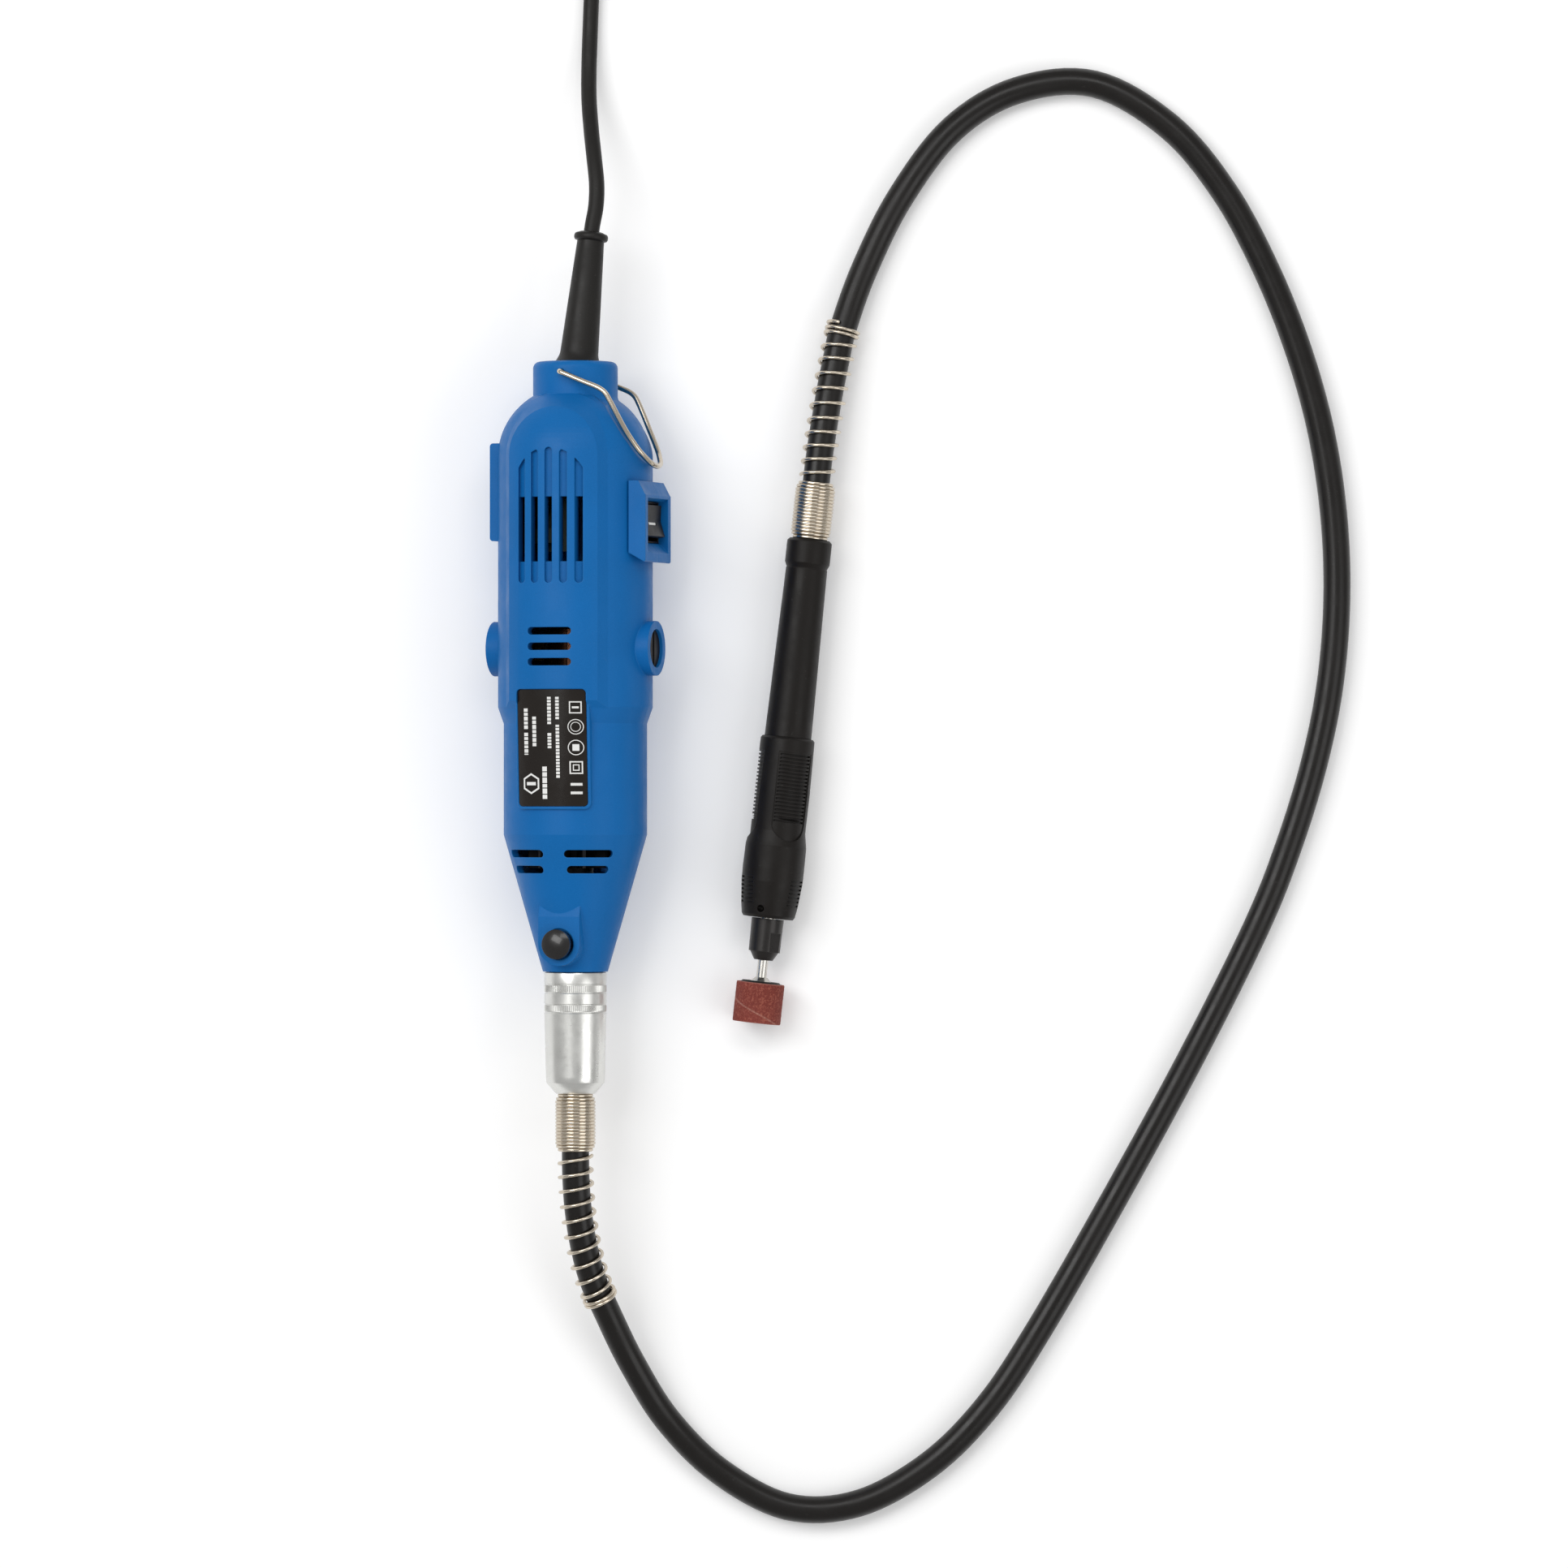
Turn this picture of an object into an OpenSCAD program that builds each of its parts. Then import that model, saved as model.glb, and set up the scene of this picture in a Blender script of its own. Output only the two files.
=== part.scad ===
// Mains rotary tool with a flexible shaft and handpiece, lying on a bench.
// Millimetres, +Z up, bench at z = 0. The tool and the handpiece are each drawn
// along their own Z axis, from their rear end, and are then laid at their places.
// In the tool's own frame X is the switch side and Y is the front panel's side.

/* [Housing] */
// Diameter of the motor end of the housing
body_d = 47.5; // [44:0.5:58]
// Diameter of the grip below the motor end
grip_d = 44; // [42:0.5:53]
// Diameter of the neck that the cord enters
neck_d = 26; // [22:0.5:32]
// Diameter of the nose end of the cone
nose_d = 20; // [18.5:0.5:25]
// Thickness of the housing's wall
wall = 2.4; // [1.8:0.1:3]
// Length of the neck
neck_len = 10.5; // [8.5:0.5:13]
// Length of the domed shoulder
shoulder_len = 18.5; // [15:0.5:23]
// Length of the straight motor end
motor_len = 77; // [70:1:95]
// Length of the grip, with the step down to it
grip_len = 39; // [38:1:48]
// Length of the cone
cone_len = 42; // [38:1:52]
// Width of the raised panel on the front and the back
panel_w = 33; // [26:0.5:38]
// Height that the panels stand proud
panel_rise = 1.25; // [0.8:0.05:1.6]
// Angle that the tool is rolled, which turns its switch side up
tool_roll = 18; // [0:1:25]

/* [Vents and label] */
// Number of long slots in the front panel
slot_count = 5; // [3:2:5]
// Width of a long slot
slot_w = 2.4; // [1.6:0.1:3]
// Distance between long slots
slot_pitch = 4.6; // [4:0.1:5.5]
// Height of a cross slot
cross_slot_h = 2.3; // [1.6:0.1:3]
// Width of a cross slot
cross_slot_w = 14; // [10:0.5:18]
// Width of the rating label
label_w = 22; // [16:0.5:24]
// Length of the rating label
label_len = 35.5; // [28:0.5:37]

/* [Switch and speed dial] */
// Length of the switch box
box_len = 24.75; // [22:0.25:30]
// Width of the switch box
box_w = 24; // [22:0.5:27]
// Height of the switch box above the housing
box_rise = 3.05; // [2.5:0.05:4.5]
// Length of the rocker
rocker_len = 12.5; // [10:0.25:14]
// Width of the rocker
rocker_w = 18.8; // [14:0.2:19.6]
// Angle that the rocker swings
rocker_swing = 14; // [8:1:18]
// Diameter of the speed dial
dial_d = 18; // [15:0.5:20]
// Thickness of the speed dial
dial_t = 5; // [4:0.25:6.5]

/* [Motor] */
// Diameter of the armature's core
armature_d = 22; // [18:0.5:24]
// Length of the armature's core and of the stator
core_len = 30; // [24:1:32]
// Gap between the armature and the stator's poles
air_gap = 0.5; // [0.3:0.05:0.8]
// Diameter of the armature's shaft
shaft_d = 6; // [5:0.25:7]
// Diameter of the commutator
commutator_d = 16; // [13:0.5:18]
// Length of the commutator
commutator_len = 12; // [10:0.5:14]
// Diameter of the rear bearing
rear_bearing_d = 19; // [16:0.5:22]
// Diameter of the front bearing
front_bearing_d = 22; // [18:0.5:23]
// Number of blades on the fan
blade_count = 12; // [8:1:16]

/* [Bail] */
// Diameter of the bail's wire
bail_wire = 1.7; // [1.2:0.1:2]

/* [Nose] */
// Diameter of the coupling nut at its rear
coupling_d = 19.2; // [18:0.2:23]
// Length of the coupling nut
coupling_len = 37.3; // [34:0.1:44]
// Diameter of the thread on the nose
thread_d = 16; // [14:0.25:16.5]
// Diameter of the spindle lock button
button_d = 9.1; // [7.5:0.1:10.5]

/* [Flexible shaft] */
// Diameter of the sheath
sheath_d = 8.4; // [7:0.1:8.6]
// Diameter of the core
core_d = 3.4; // [2.6:0.1:4]
// Diameter of the ribbed ferrules
ferrule_d = 12.4; // [11.5:0.1:14.5]
// Length of the ribbed ferrules
ferrule_len = 17.75; // [15:0.25:21]
// Outer diameter of the guard springs
spring_d = 11.2; // [10.8:0.1:13]
// Diameter of the guard springs' wire
spring_wire = 1.1; // [0.8:0.1:1.15]

/* [Handpiece] */
// Largest diameter of the grip
hand_d = 19; // [17.5:0.1:23]
// Length of the tapered tube
hand_tube_len = 61.5; // [52:0.5:74]
// Length of the grip
hand_grip_len = 56; // [50:0.5:67]
// Diameter of the collar at the handpiece's rear
collar_d = 13.9; // [12.8:0.1:16]
// Diameter of the handpiece's bearings
hand_bearing_d = 11; // [10:0.5:12.5]
// Diameter of the handpiece's spindle
hand_spindle_d = 5; // [4.5:0.25:6]
// Diameter of the chuck nut
chuck_d = 9.8; // [9:0.1:11.5]
// Diameter of the accessory's shank
shank_d = 3.2; // [2.35:0.05:3.2]
// Diameter of the sanding band
band_d = 15; // [12:0.5:18]
// Length of the sanding band
band_len = 12.4; // [10:0.2:15]

/* [Mains cord] */
// Diameter of the mains cord
cord_d = 4.8; // [4.2:0.1:5.2]
// Mean diameter of the stored coil
coil_mean_d = 54; // [50:1:58]

/* [Hidden] */
$fn = 48;

// Clearances
running = 0.05;   // round a pin or shaft that turns in a bore
seat = 0.02;      // round a bearing or a part that is pushed into its seat
free = 0.3;       // between parts that move past each other
loose = 0.2;      // between parts that lie in one another

// Radii
body_r = body_d / 2;
grip_r = grip_d / 2;
neck_r = neck_d / 2;
nose_r = nose_d / 2;
sheath_r = sheath_d / 2;
cord_r = cord_d / 2;
thread_r = thread_d / 2;

// Stations along the tool, from the top of the neck to the nose
shoulder_s = neck_len + shoulder_len;
step_s = shoulder_s + motor_len;
step_len = 5;
cone_s = step_s + grip_len;
nose_s = cone_s + cone_len;
thread_len = 10.5;
coupling_s = nose_s + 0.2;
coupling_end = coupling_s + coupling_len;
ferrule_end = coupling_end + ferrule_len;
sheath_s = coupling_end + 1.5;

// Places of the tool and the handpiece
tool_x = -30;
sheath_y = -100;
neck_y = sheath_y + sheath_s;
tool_z = body_r + panel_rise;
hand_x = 42;
hand_y = 72;
hand_z = hand_d / 2;
hand_turn = 6.33;

module place_tool() {
  translate([tool_x, neck_y, tool_z]) rotate([0, -tool_roll, 0]) rotate([90, 0, 0]) children();
}

module place_hand() {
  translate([hand_x, hand_y, hand_z]) rotate([0, 0, -hand_turn]) rotate([90, 0, 0]) children();
}

// ---- Routes and sweeps ----

function unit(v) = v / norm(v);
function blend(p, q, r, s, t) =
  0.5 * (2 * q + (r - p) * t + (2 * p - 5 * q + 4 * r - s) * t * t
    + (3 * q - p - 3 * r + s) * t * t * t);
function on_route(route, x) =
  let(last = len(route) - 1, i = max(0, min(floor(x), last - 1)))
  blend(route[max(i - 1, 0)], route[i], route[i + 1], route[min(i + 2, last)], x - i);
function route_dir(route, x) = unit(on_route(route, x + 0.02) - on_route(route, x - 0.02));
function side_of(dir, up) = unit(cross(dir, up));

// The rings of a tube, each [centre, side, normal]
function tube_frames(route, per, up = [0, 0, 1]) =
  [for (k = [0 : (len(route) - 1) * per])
    let(x = k / per, dir = route_dir(route, x), side = side_of(dir, up))
    [on_route(route, x), side, cross(side, dir)]];
function ring(frame, r, sides) =
  [for (k = [0 : sides - 1]) frame[0] + r * (cos(360 * k / sides) * frame[1]
    + sin(360 * k / sides) * frame[2])];
function wall_faces(n, sides, at, flip) =
  [for (i = [0 : n - 2]) for (k = [0 : sides - 1])
    let(a = at + i * sides + k, b = at + i * sides + (k + 1) % sides, c = b + sides, d = a + sides)
    each flip ? [[a, c, b], [a, d, c]] : [[a, b, c], [a, c, d]]];

module tube(frames, r, sides) {
  n = len(frames);
  polyhedron(
    points = [for (f = frames) each ring(f, r, sides)],
    faces = concat(
      [[for (k = [sides - 1 : -1 : 0]) k]],
      wall_faces(n, sides, 0, false),
      [[for (k = [0 : sides - 1]) (n - 1) * sides + k]]),
    convexity = 10);
}

module hollow_tube(frames, r, bore, sides) {
  n = len(frames);
  m = n * sides;
  polyhedron(
    points = concat([for (f = frames) each ring(f, r, sides)],
      [for (f = frames) each ring(f, bore, sides)]),
    faces = concat(
      wall_faces(n, sides, 0, false),
      wall_faces(n, sides, m, true),
      [for (k = [0 : sides - 1]) let(j = (k + 1) % sides)
        each [[k, m + k, m + j], [k, m + j, j]]],
      [for (k = [0 : sides - 1]) let(j = (k + 1) % sides, e = (n - 1) * sides)
        each [[e + k, e + j, m + e + j], [e + k, m + e + j, m + e + k]]]),
    convexity = 10);
}

// A guard spring round a route: open turns, then closed ones at its far end
function spring_travel(t, open_turns, pitch, wire) =
  t < open_turns ? t * pitch : open_turns * pitch + (t - open_turns) * wire * 1.05;
function coil_frames(route, x0, dir, spacing, r, open_turns, closed_turns, pitch, wire, steps) =
  [for (k = [0 : (open_turns + closed_turns) * steps])
    let(t = k / steps,
      x = x0 + dir * spring_travel(t, open_turns, pitch, wire) / spacing,
      ahead = route_dir(route, x), side = side_of(ahead, [0, 0, 1]), up = cross(side, ahead),
      out = sin(360 * t) * up - dir * cos(360 * t) * side,
      round = cos(360 * t) * up + dir * sin(360 * t) * side,
      along = unit(360 * PI / 180 * r * round + dir * pitch * ahead))
    [on_route(route, x) + r * out, out, cross(out, along)]];

// The flexible shaft's route: from the tool down to the bench, round, and up to the
// handpiece. The heights near each end are shares of that end's height.
flex_from_tool = [[-30, -100, 1], [-30, -116, 1], [-29.8, -126, 0.98], [-29, -136, 0.92],
  [-27.4, -146, 0.82], [-24.8, -156, 0.69], [-21, -165, 0.54], [-13, -182, 0.29],
  [-2, -200, 0.09], [14, -216, 0.01]];
flex_on_bench = [[35, -227], [57, -226], [79, -214], [97, -196], [113, -172], [136, -132],
  [160, -88], [180, -48], [190, -23], [198, 3], [203, 28], [205, 54], [204, 80], [200, 106],
  [193, 131], [183, 156], [170, 180], [153, 200], [130, 213], [106, 211], [86, 199],
  [70, 178]];
flex_to_hand = [[59, 156, 0.1], [52.5, 138, 0.37], [50.2, 128, 0.53], [48.2, 118, 0.71],
  [46.5, 108, 0.87], [45.1, 99, 0.97], [44, 90, 1], [42.9, 80, 1]];
sheath_z = sheath_r + 0.1;
flex_route = concat(
  [for (p = flex_from_tool) [p[0], p[1], sheath_z + p[2] * (tool_z - sheath_z)]],
  [for (p = flex_on_bench) [p[0], p[1], sheath_z]],
  [for (p = flex_to_hand) [p[0], p[1], sheath_z + p[2] * (hand_z - sheath_z)]]);
core_route = concat([[tool_x, sheath_y + 12, tool_z]], flex_route,
  [[hand_x - 20 * sin(hand_turn), hand_y - 20 * cos(hand_turn), hand_z]]);

// The mains cord's route, from the top of the neck: across, along, share of the height
cord_from_tool = [[0, -20, 1], [0, -9, 1], [2, 11, 0.95], [4, 31, 0.9], [5, 41, 0.875],
  [6.2, 48, 0.85], [6.4, 55, 0.79], [5.6, 63, 0.67], [4.6, 72, 0.48], [3.8, 82, 0.27],
  [3.7, 92, 0.11], [4, 103, 0.02], [4.4, 114, 0], [4.8, 127, 0], [5, 140, 0], [5, 151, 0]];
cord_z = cord_r + 0.1;
cord_route = [for (p = cord_from_tool)
  [tool_x + p[0], neck_y + p[1], cord_z + p[2] * (tool_z - cord_z)]];
// The tail from the coil to the plug, from the coil's centre
cord_tail_points = [[16, 33, 9.5], [24, 32.5, 7.6], [33, 30, 5.4], [43, 25.5, 5.2],
  [53, 21.5, 6.5], [62, 20, 6.9], [70, 20, 6.9]];

// ---- Housing ----

// Outline of the housing's outer face, grown outwards by g, up to where its cone ends
function neck_edge(g) =
  [for (k = [0 : 15 : 90]) let(e = 2 + max(g, -1.5))
    [neck_r + g - e + e * sin(k), -g + e - e * cos(k)]];
function dome(g) =
  let(first = asin((neck_r + g) / (body_r + g)),
    deep = shoulder_len / cos(asin(neck_r / body_r)) + g)
  [for (k = [0 : 14]) let(t = first + (90 - first) * k / 14)
    [(body_r + g) * sin(t), shoulder_s - deep * cos(t)]];
module body_outline(g) {
  polygon(concat([[0, -g]], neck_edge(g), dome(g),
    [[body_r + g, step_s], [grip_r + g, step_s + step_len], [grip_r + g, cone_s],
      [nose_r + g, nose_s], [0, nose_s]]));
}
// Radius of the cone's outer face at a station
function cone_r(s) = grip_r + (nose_r - grip_r) * (s - cone_s) / cone_len;

// An outline drawn in X and Z, made a prism from y0 to y1
module prism_y(y0, y1) {
  translate([0, y1, 0]) rotate([90, 0, 0]) linear_extrude(y1 - y0) children();
}
module rounded_rect(w, h, r) {
  square([w - 2 * r, h], center = true);
  square([w, h - 2 * r], center = true);
  for (x = [-1, 1], y = [-1, 1]) translate([x * (w / 2 - r), y * (h / 2 - r)]) circle(r);
}
module bar_slot(w, h) {
  square([w - h, h], center = true);
  for (x = [-1, 1]) translate([x * (w - h) / 2, 0]) circle(h / 2);
}

// The raised panel: a drafted, arched shape cut from a grown body
panel_foot = 12;                       // height at which the draft starts
panel_top = body_r + panel_rise + 1;
panel_foot_w = panel_w / 2 + 0.65 * (sqrt(body_r * body_r - panel_w * panel_w / 4) - panel_foot);
panel_top_w = panel_foot_w - 0.65 * (panel_top - panel_foot);
arch_s = neck_len + 18.8;
module panel() {
  intersection() {
    rotate_extrude() polygon(concat([[0, 0]], dome(panel_rise),
      [[body_r + panel_rise, step_s - 2], [grip_r - 0.5, step_s + 4], [0, step_s + 4]]));
    union() {
      translate([0, panel_foot, arch_s]) rotate([-90, 0, 0])
        cylinder(r1 = panel_foot_w, r2 = panel_top_w, h = panel_top - panel_foot, $fn = 96);
      translate([0, 0, arch_s]) linear_extrude(step_s + 4 - arch_s)
        polygon([[-panel_foot_w, panel_foot], [panel_foot_w, panel_foot],
          [panel_top_w, panel_top], [-panel_top_w, panel_top]]);
    }
  }
}

// The step that lets the bail lie against the shoulder on the switch side
recess_deep = 1;
module bail_recess() {
  difference() {
    prism_y(-body_r - 5, body_r + 5)
      polygon([[0, neck_len - 2.5], [8.4, neck_len - 0.2], [13.4, neck_len + 3.4],
        [17.3, neck_len + 9.2], [20.6, neck_len + 14.8], [body_r, shoulder_s + 2.6],
        [body_r + 6, shoulder_s + 10], [body_r + 6, neck_len - 2.5]]);
    rotate_extrude() polygon(concat([[0, 0], [neck_r, 0]],
      [for (p = dome(-recess_deep)) [max(p[0], neck_r), p[1]]],
      [[body_r - recess_deep, shoulder_s + 12], [0, shoulder_s + 12]]));
  }
}

// Screws that hold the two halves together
screw_r = 1.3;
screw_head_r = 2.6;
screw_post_r = 3.2;
screw_places = [[14.5, shoulder_s - 2], [body_r - 6.9, step_s - 5.5], [nose_r - 0.6, cone_s + 26.5]];
module at_screws() {
  for (p = screw_places, m = [-1, 1]) translate([m * p[0], 0, p[1]]) children();
}
screw_seat_y = [-(body_r - 10.5), -(body_r - 12), -(nose_r - 3.5)];
screw_reach = 7;

// Switch box on the switch side
box_s = shoulder_s + 20.4;
box_face = body_r + box_rise;
opening_w = rocker_w + 2 * loose;
module switch_box() {
  prism_y(-box_w / 2, box_w / 2)
    polygon([[body_r - 6, box_s - box_len / 2], [body_r + 0.7, box_s - box_len / 2],
      [box_face - 0.4, box_s - box_len / 2 + 3.7], [box_face, box_s - box_len / 2 + 4.3],
      [box_face, box_s + box_len / 2 - 0.4], [box_face - 0.4, box_s + box_len / 2],
      [body_r - 6, box_s + box_len / 2 - 4.8]]);
}
// The opening that the rocker sits in, flared at both ends towards the face
rocker_face = box_face - 1.25;
module switch_opening() {
  prism_y(-opening_w / 2, opening_w / 2)
    polygon([[body_r - 12, box_s - rocker_len / 2 - loose],
      [rocker_face - 0.6, box_s - rocker_len / 2 - loose],
      [box_face + 1, box_s - rocker_len / 2 - 1.4], [box_face + 1, box_s + rocker_len / 2 + 4.4],
      [rocker_face - 1.4, box_s + rocker_len / 2 + loose],
      [body_r - 12, box_s + rocker_len / 2 + loose]]);
}

// Plate that the speed dial shows through, on the side away from the switch
dial_s = shoulder_s + 11;
plate_len = 30;
plate_w = 17;
plate_face = body_r + 1.1;
dial_x = -(plate_face + 0.6 - dial_d / 2);
module dial_plate() {
  difference() {
    prism_y(-plate_w / 2, plate_w / 2)
      translate([-(plate_face + body_r - 5) / 2, dial_s])
      rounded_rect(plate_face - body_r + 5, plate_len, 1);
    cylinder(r = body_r - wall, h = 300, center = true);
  }
}
dial_room = dial_d / 2 + free + 0.3;

// Brush bosses
brush_s = step_s - 18;
boss_r = 8.4;
boss_face = body_r + 2.55;
cap_r = 5.9;
cap_face = boss_face - 1;
cap_len = 4;
module along_x(side) {
  rotate([0, side * 90, 0]) children();
}

// Bearings
rear_bearing_len = 6;
front_bearing_len = 7;
rear_bearing_s = brush_s - commutator_len / 2 - 12;
front_bearing_s = cone_s + 15;
journal_r = shaft_d / 2 + 1;           // the shaft is thicker from the front bearing on
spindle_r = shaft_d / 2 + 0.5;

// Lock button and its boss on the cone
button_s = nose_s - 8.6;
button_travel = 2.4;
pad_y = cone_r(button_s) + 2.9;
pin_r = 1.5;
button_stem_r = 3;

module housing_solid() {
  difference() {
    union() {
      rotate_extrude() body_outline(0);
      panel();
      mirror([0, 1, 0]) panel();
    }
    bail_recess();
  }
}
module cavity() {
  intersection() {
    rotate_extrude() body_outline(-wall);
    translate([0, 0, wall]) cylinder(r = body_r, h = front_bearing_s - 2 - wall);
  }
}
// Rib that carries the rear bearing, open beside it for air and wires
module bearing_rib() {
  difference() {
    translate([0, 0, rear_bearing_s]) cylinder(r = body_r - wall / 2, h = rear_bearing_len);
    for (m = [-1, 1]) translate([m * (rear_bearing_d / 2 + 5.5), 0, 0])
      cube([5.5, 18, 400], center = true);
  }
}
// A cone under the label, which rises from the grip towards the panel
module label_cone(proud) {
  translate([0, 0, label_s - label_len / 2 - 2])
    cylinder(r1 = label_top_r + proud, r2 = label_low_r + proud, h = label_len + 4, $fn = 96);
}
module label_pad() {
  intersection() {
    label_cone(label_t);
    prism_y(0, 60) translate([0, label_s]) rounded_rect(label_w + 1.8, label_len + 1.8, 1.8);
  }
}
label_s = step_s + 12.5;
label_t = 0.35;
label_top_r = body_r + 0.5;
label_low_r = grip_r + 0.45;
lock_boss_w = 13.3;
module lock_boss() {
  intersection() {
    prism_y(0, pad_y) {
      translate([0, button_s]) circle(lock_boss_w / 2, $fn = 64);
      translate([-lock_boss_w / 2, button_s - 11.5]) square([lock_boss_w, 11.5]);
    }
    translate([0, 0, button_s - 11.5]) rotate([0, 90, 0]) linear_extrude(40, center = true)
      polygon([[0, 0], [0, pad_y - 0.8], [-3, pad_y], [-20, pad_y], [-20, 0]]);
  }
}
module long_slots(through) {
  for (i = [0 : slot_count - 1])
    let(x = (i - (slot_count - 1) / 2) * slot_pitch, drop = x * x * 0.03,
      first = shoulder_s - 2 + drop, last = shoulder_s + 39.3)
    translate([x, (first + last) / 2]) {
      if (through) translate([0, shoulder_s + 22.9 - (first + last) / 2])
        square([slot_w, 19.75], center = true);
      else rotate(90) bar_slot(last - first, slot_w);
    }
}
// Arch that the tops of the long slots follow
module slot_arch() {
  translate([0, slot_arch_s]) circle(slot_arch_r, $fn = 96);
  translate([-slot_arch_r, slot_arch_s]) square([2 * slot_arch_r, 60]);
}
slot_arch_r = (slot_count - 1) / 2 * slot_pitch + slot_w / 2 + 1.3;
slot_arch_s = shoulder_s - 2 + slot_arch_r;
cone_slot_s = [cone_s + 5.75, cone_s + 10.6];
cone_slot_h = 2.3;
module cone_vents() {
  for (z = cone_slot_s, m = [0, 180], side = [-1, 1]) rotate(m + 90 + side * 31.5)
    translate([0, 0, z]) rotate([0, 90, 0]) linear_extrude(60)
    rotate(90) bar_slot(15.2 - (z - cone_slot_s[0]) * 0.47, cone_slot_h);
}

module housing_cuts() {
  // Blind recesses of the long slots, then their openings
  difference() {
    prism_y(10, 60) intersection() {
      long_slots(false);
      slot_arch();
    }
    cylinder(r = body_r + panel_rise - 1.3, h = 400, $fn = 96);
  }
  prism_y(5, 60) long_slots(true);
  for (i = [-1 : 1]) prism_y(5, 60)
    translate([0, brush_s - 0.4 + i * 4.7]) bar_slot(cross_slot_w, cross_slot_h);
  cone_vents();
  // Label
  difference() {
    prism_y(10, 60) translate([0, label_s]) rounded_rect(label_w + 0.4, label_len + 0.4, 1.4);
    label_cone(0);
  }
  // Cord sleeve and bail
  translate([0, 0, -1]) cylinder(r = sleeve_groove_r + seat, h = wall + 1.1);
  translate([0, 0, bail_s]) rotate([90, 0, 0])
    cylinder(r = bail_wire / 2 + running, h = neck_d + 2, center = true);
  // Switch and dial
  switch_opening();
  translate([dial_x, 0, dial_s]) rotate([90, 0, 0])
    cylinder(r = dial_room, h = dial_t + 2 * free, center = true);
  // Brushes
  for (m = [-1, 1]) translate([0, 0, brush_s]) along_x(m) {
    translate([0, 0, 12]) cylinder(r = cap_r + seat, h = 30);
    cylinder(r = boss_r - 2.6, h = 14);
  }
  // Bearings and spindle
  translate([0, 0, rear_bearing_s]) cylinder(r = rear_bearing_d / 2 + seat, h = rear_bearing_len + 1);
  translate([0, 0, rear_bearing_s - 3]) cylinder(r = shaft_d / 2 + 2, h = 4);
  translate([0, 0, front_bearing_s - 3]) cylinder(r = front_bearing_d / 2 + seat, h = front_bearing_len + 3);
  cylinder(r = spindle_r + 1, h = nose_s + thread_len + 5);
  // Lock button
  translate([0, 0, button_s]) rotate([-90, 0, 0]) {
    cylinder(r = pin_r + running, h = 40);
    translate([0, 0, pad_y - 6.4]) cylinder(r = button_stem_r + running + 1.2, h = 20);
    translate([0, 0, pad_y - 1.2]) cylinder(r = button_d / 2 + free, h = 20);
  }
  // Screws
  for (i = [0 : 2], m = [-1, 1]) translate([m * screw_places[i][0], 0, screw_places[i][1]])
    rotate([90, 0, 0]) {
      translate([0, 0, -screw_reach]) cylinder(r = screw_r + seat, h = 40);
      translate([0, 0, -screw_seat_y[i]]) cylinder(r = screw_head_r + loose, h = 40);
    }
}
module housing() {
  difference() {
    union() {
      difference() {
        housing_solid();
        cavity();
      }
      intersection() {
        bearing_rib();
        rotate_extrude() body_outline(-wall / 2);
      }
      intersection() {
        at_screws() rotate([90, 0, 0]) cylinder(r = screw_post_r, h = 60, center = true);
        rotate_extrude() body_outline(-wall / 2);
      }
      // Ridge that the cord is clamped to
      intersection() {
        translate([-9, -body_r, clamp_s - 3]) cube([18, body_r - cord_r, 6]);
        rotate_extrude() body_outline(-wall / 2);
      }
      intersection() {
        for (m = [-1, 1]) translate([0, 0, brush_s]) along_x(m)
          translate([0, 0, body_r - wall - 4]) cylinder(r = boss_r, h = boss_face - body_r + wall + 4);
        cube([2 * boss_face, 100, 400], center = true);
      }
      difference() {
        switch_box();
        translate([body_r - 20, -30, 0]) cube([20 - wall, 60, 400]);
      }
      dial_plate();
      difference() {
        label_pad();
        cylinder(r = grip_r - wall / 2, h = 400);
      }
      lock_boss();
      translate([0, 0, nose_s - 1]) cylinder(r = thread_r, h = thread_len + 1);
    }
    housing_cuts();
  }
}
module housing_front() {
  color("#1e6fba") place_tool() intersection() {
    housing();
    translate([-50, 0, -5]) cube([100, 60, 400]);
  }
}
module housing_rear() {
  color("#1e6fba") place_tool() intersection() {
    housing();
    translate([-50, -60, -5]) cube([100, 60, 400]);
  }
}
module housing_screws() {
  color("#8a8d90") place_tool() for (i = [0 : 2], m = [-1, 1])
    translate([m * screw_places[i][0], 0, screw_places[i][1]]) rotate([90, 0, 0])
    difference() {
      union() {
        translate([0, 0, -screw_reach + 1])
          cylinder(r = screw_r, h = screw_reach - 1 - screw_seat_y[i] + 0.5);
        translate([0, 0, -screw_seat_y[i]]) cylinder(r = screw_head_r, h = 1.8);
      }
      translate([0, 0, -screw_seat_y[i] + 1]) for (t = [0, 90]) rotate(t) cube([3.4, 0.6, 2], center = true);
    }
}
module rating_label() {
  color("#181513") place_tool() intersection() {
    prism_y(10, 60) translate([0, label_s]) rounded_rect(label_w, label_len, 1.2);
    difference() {
      label_cone(label_t - 0.05);
      label_cone(0);
    }
  }
}

// ---- Cord entry ----

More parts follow.
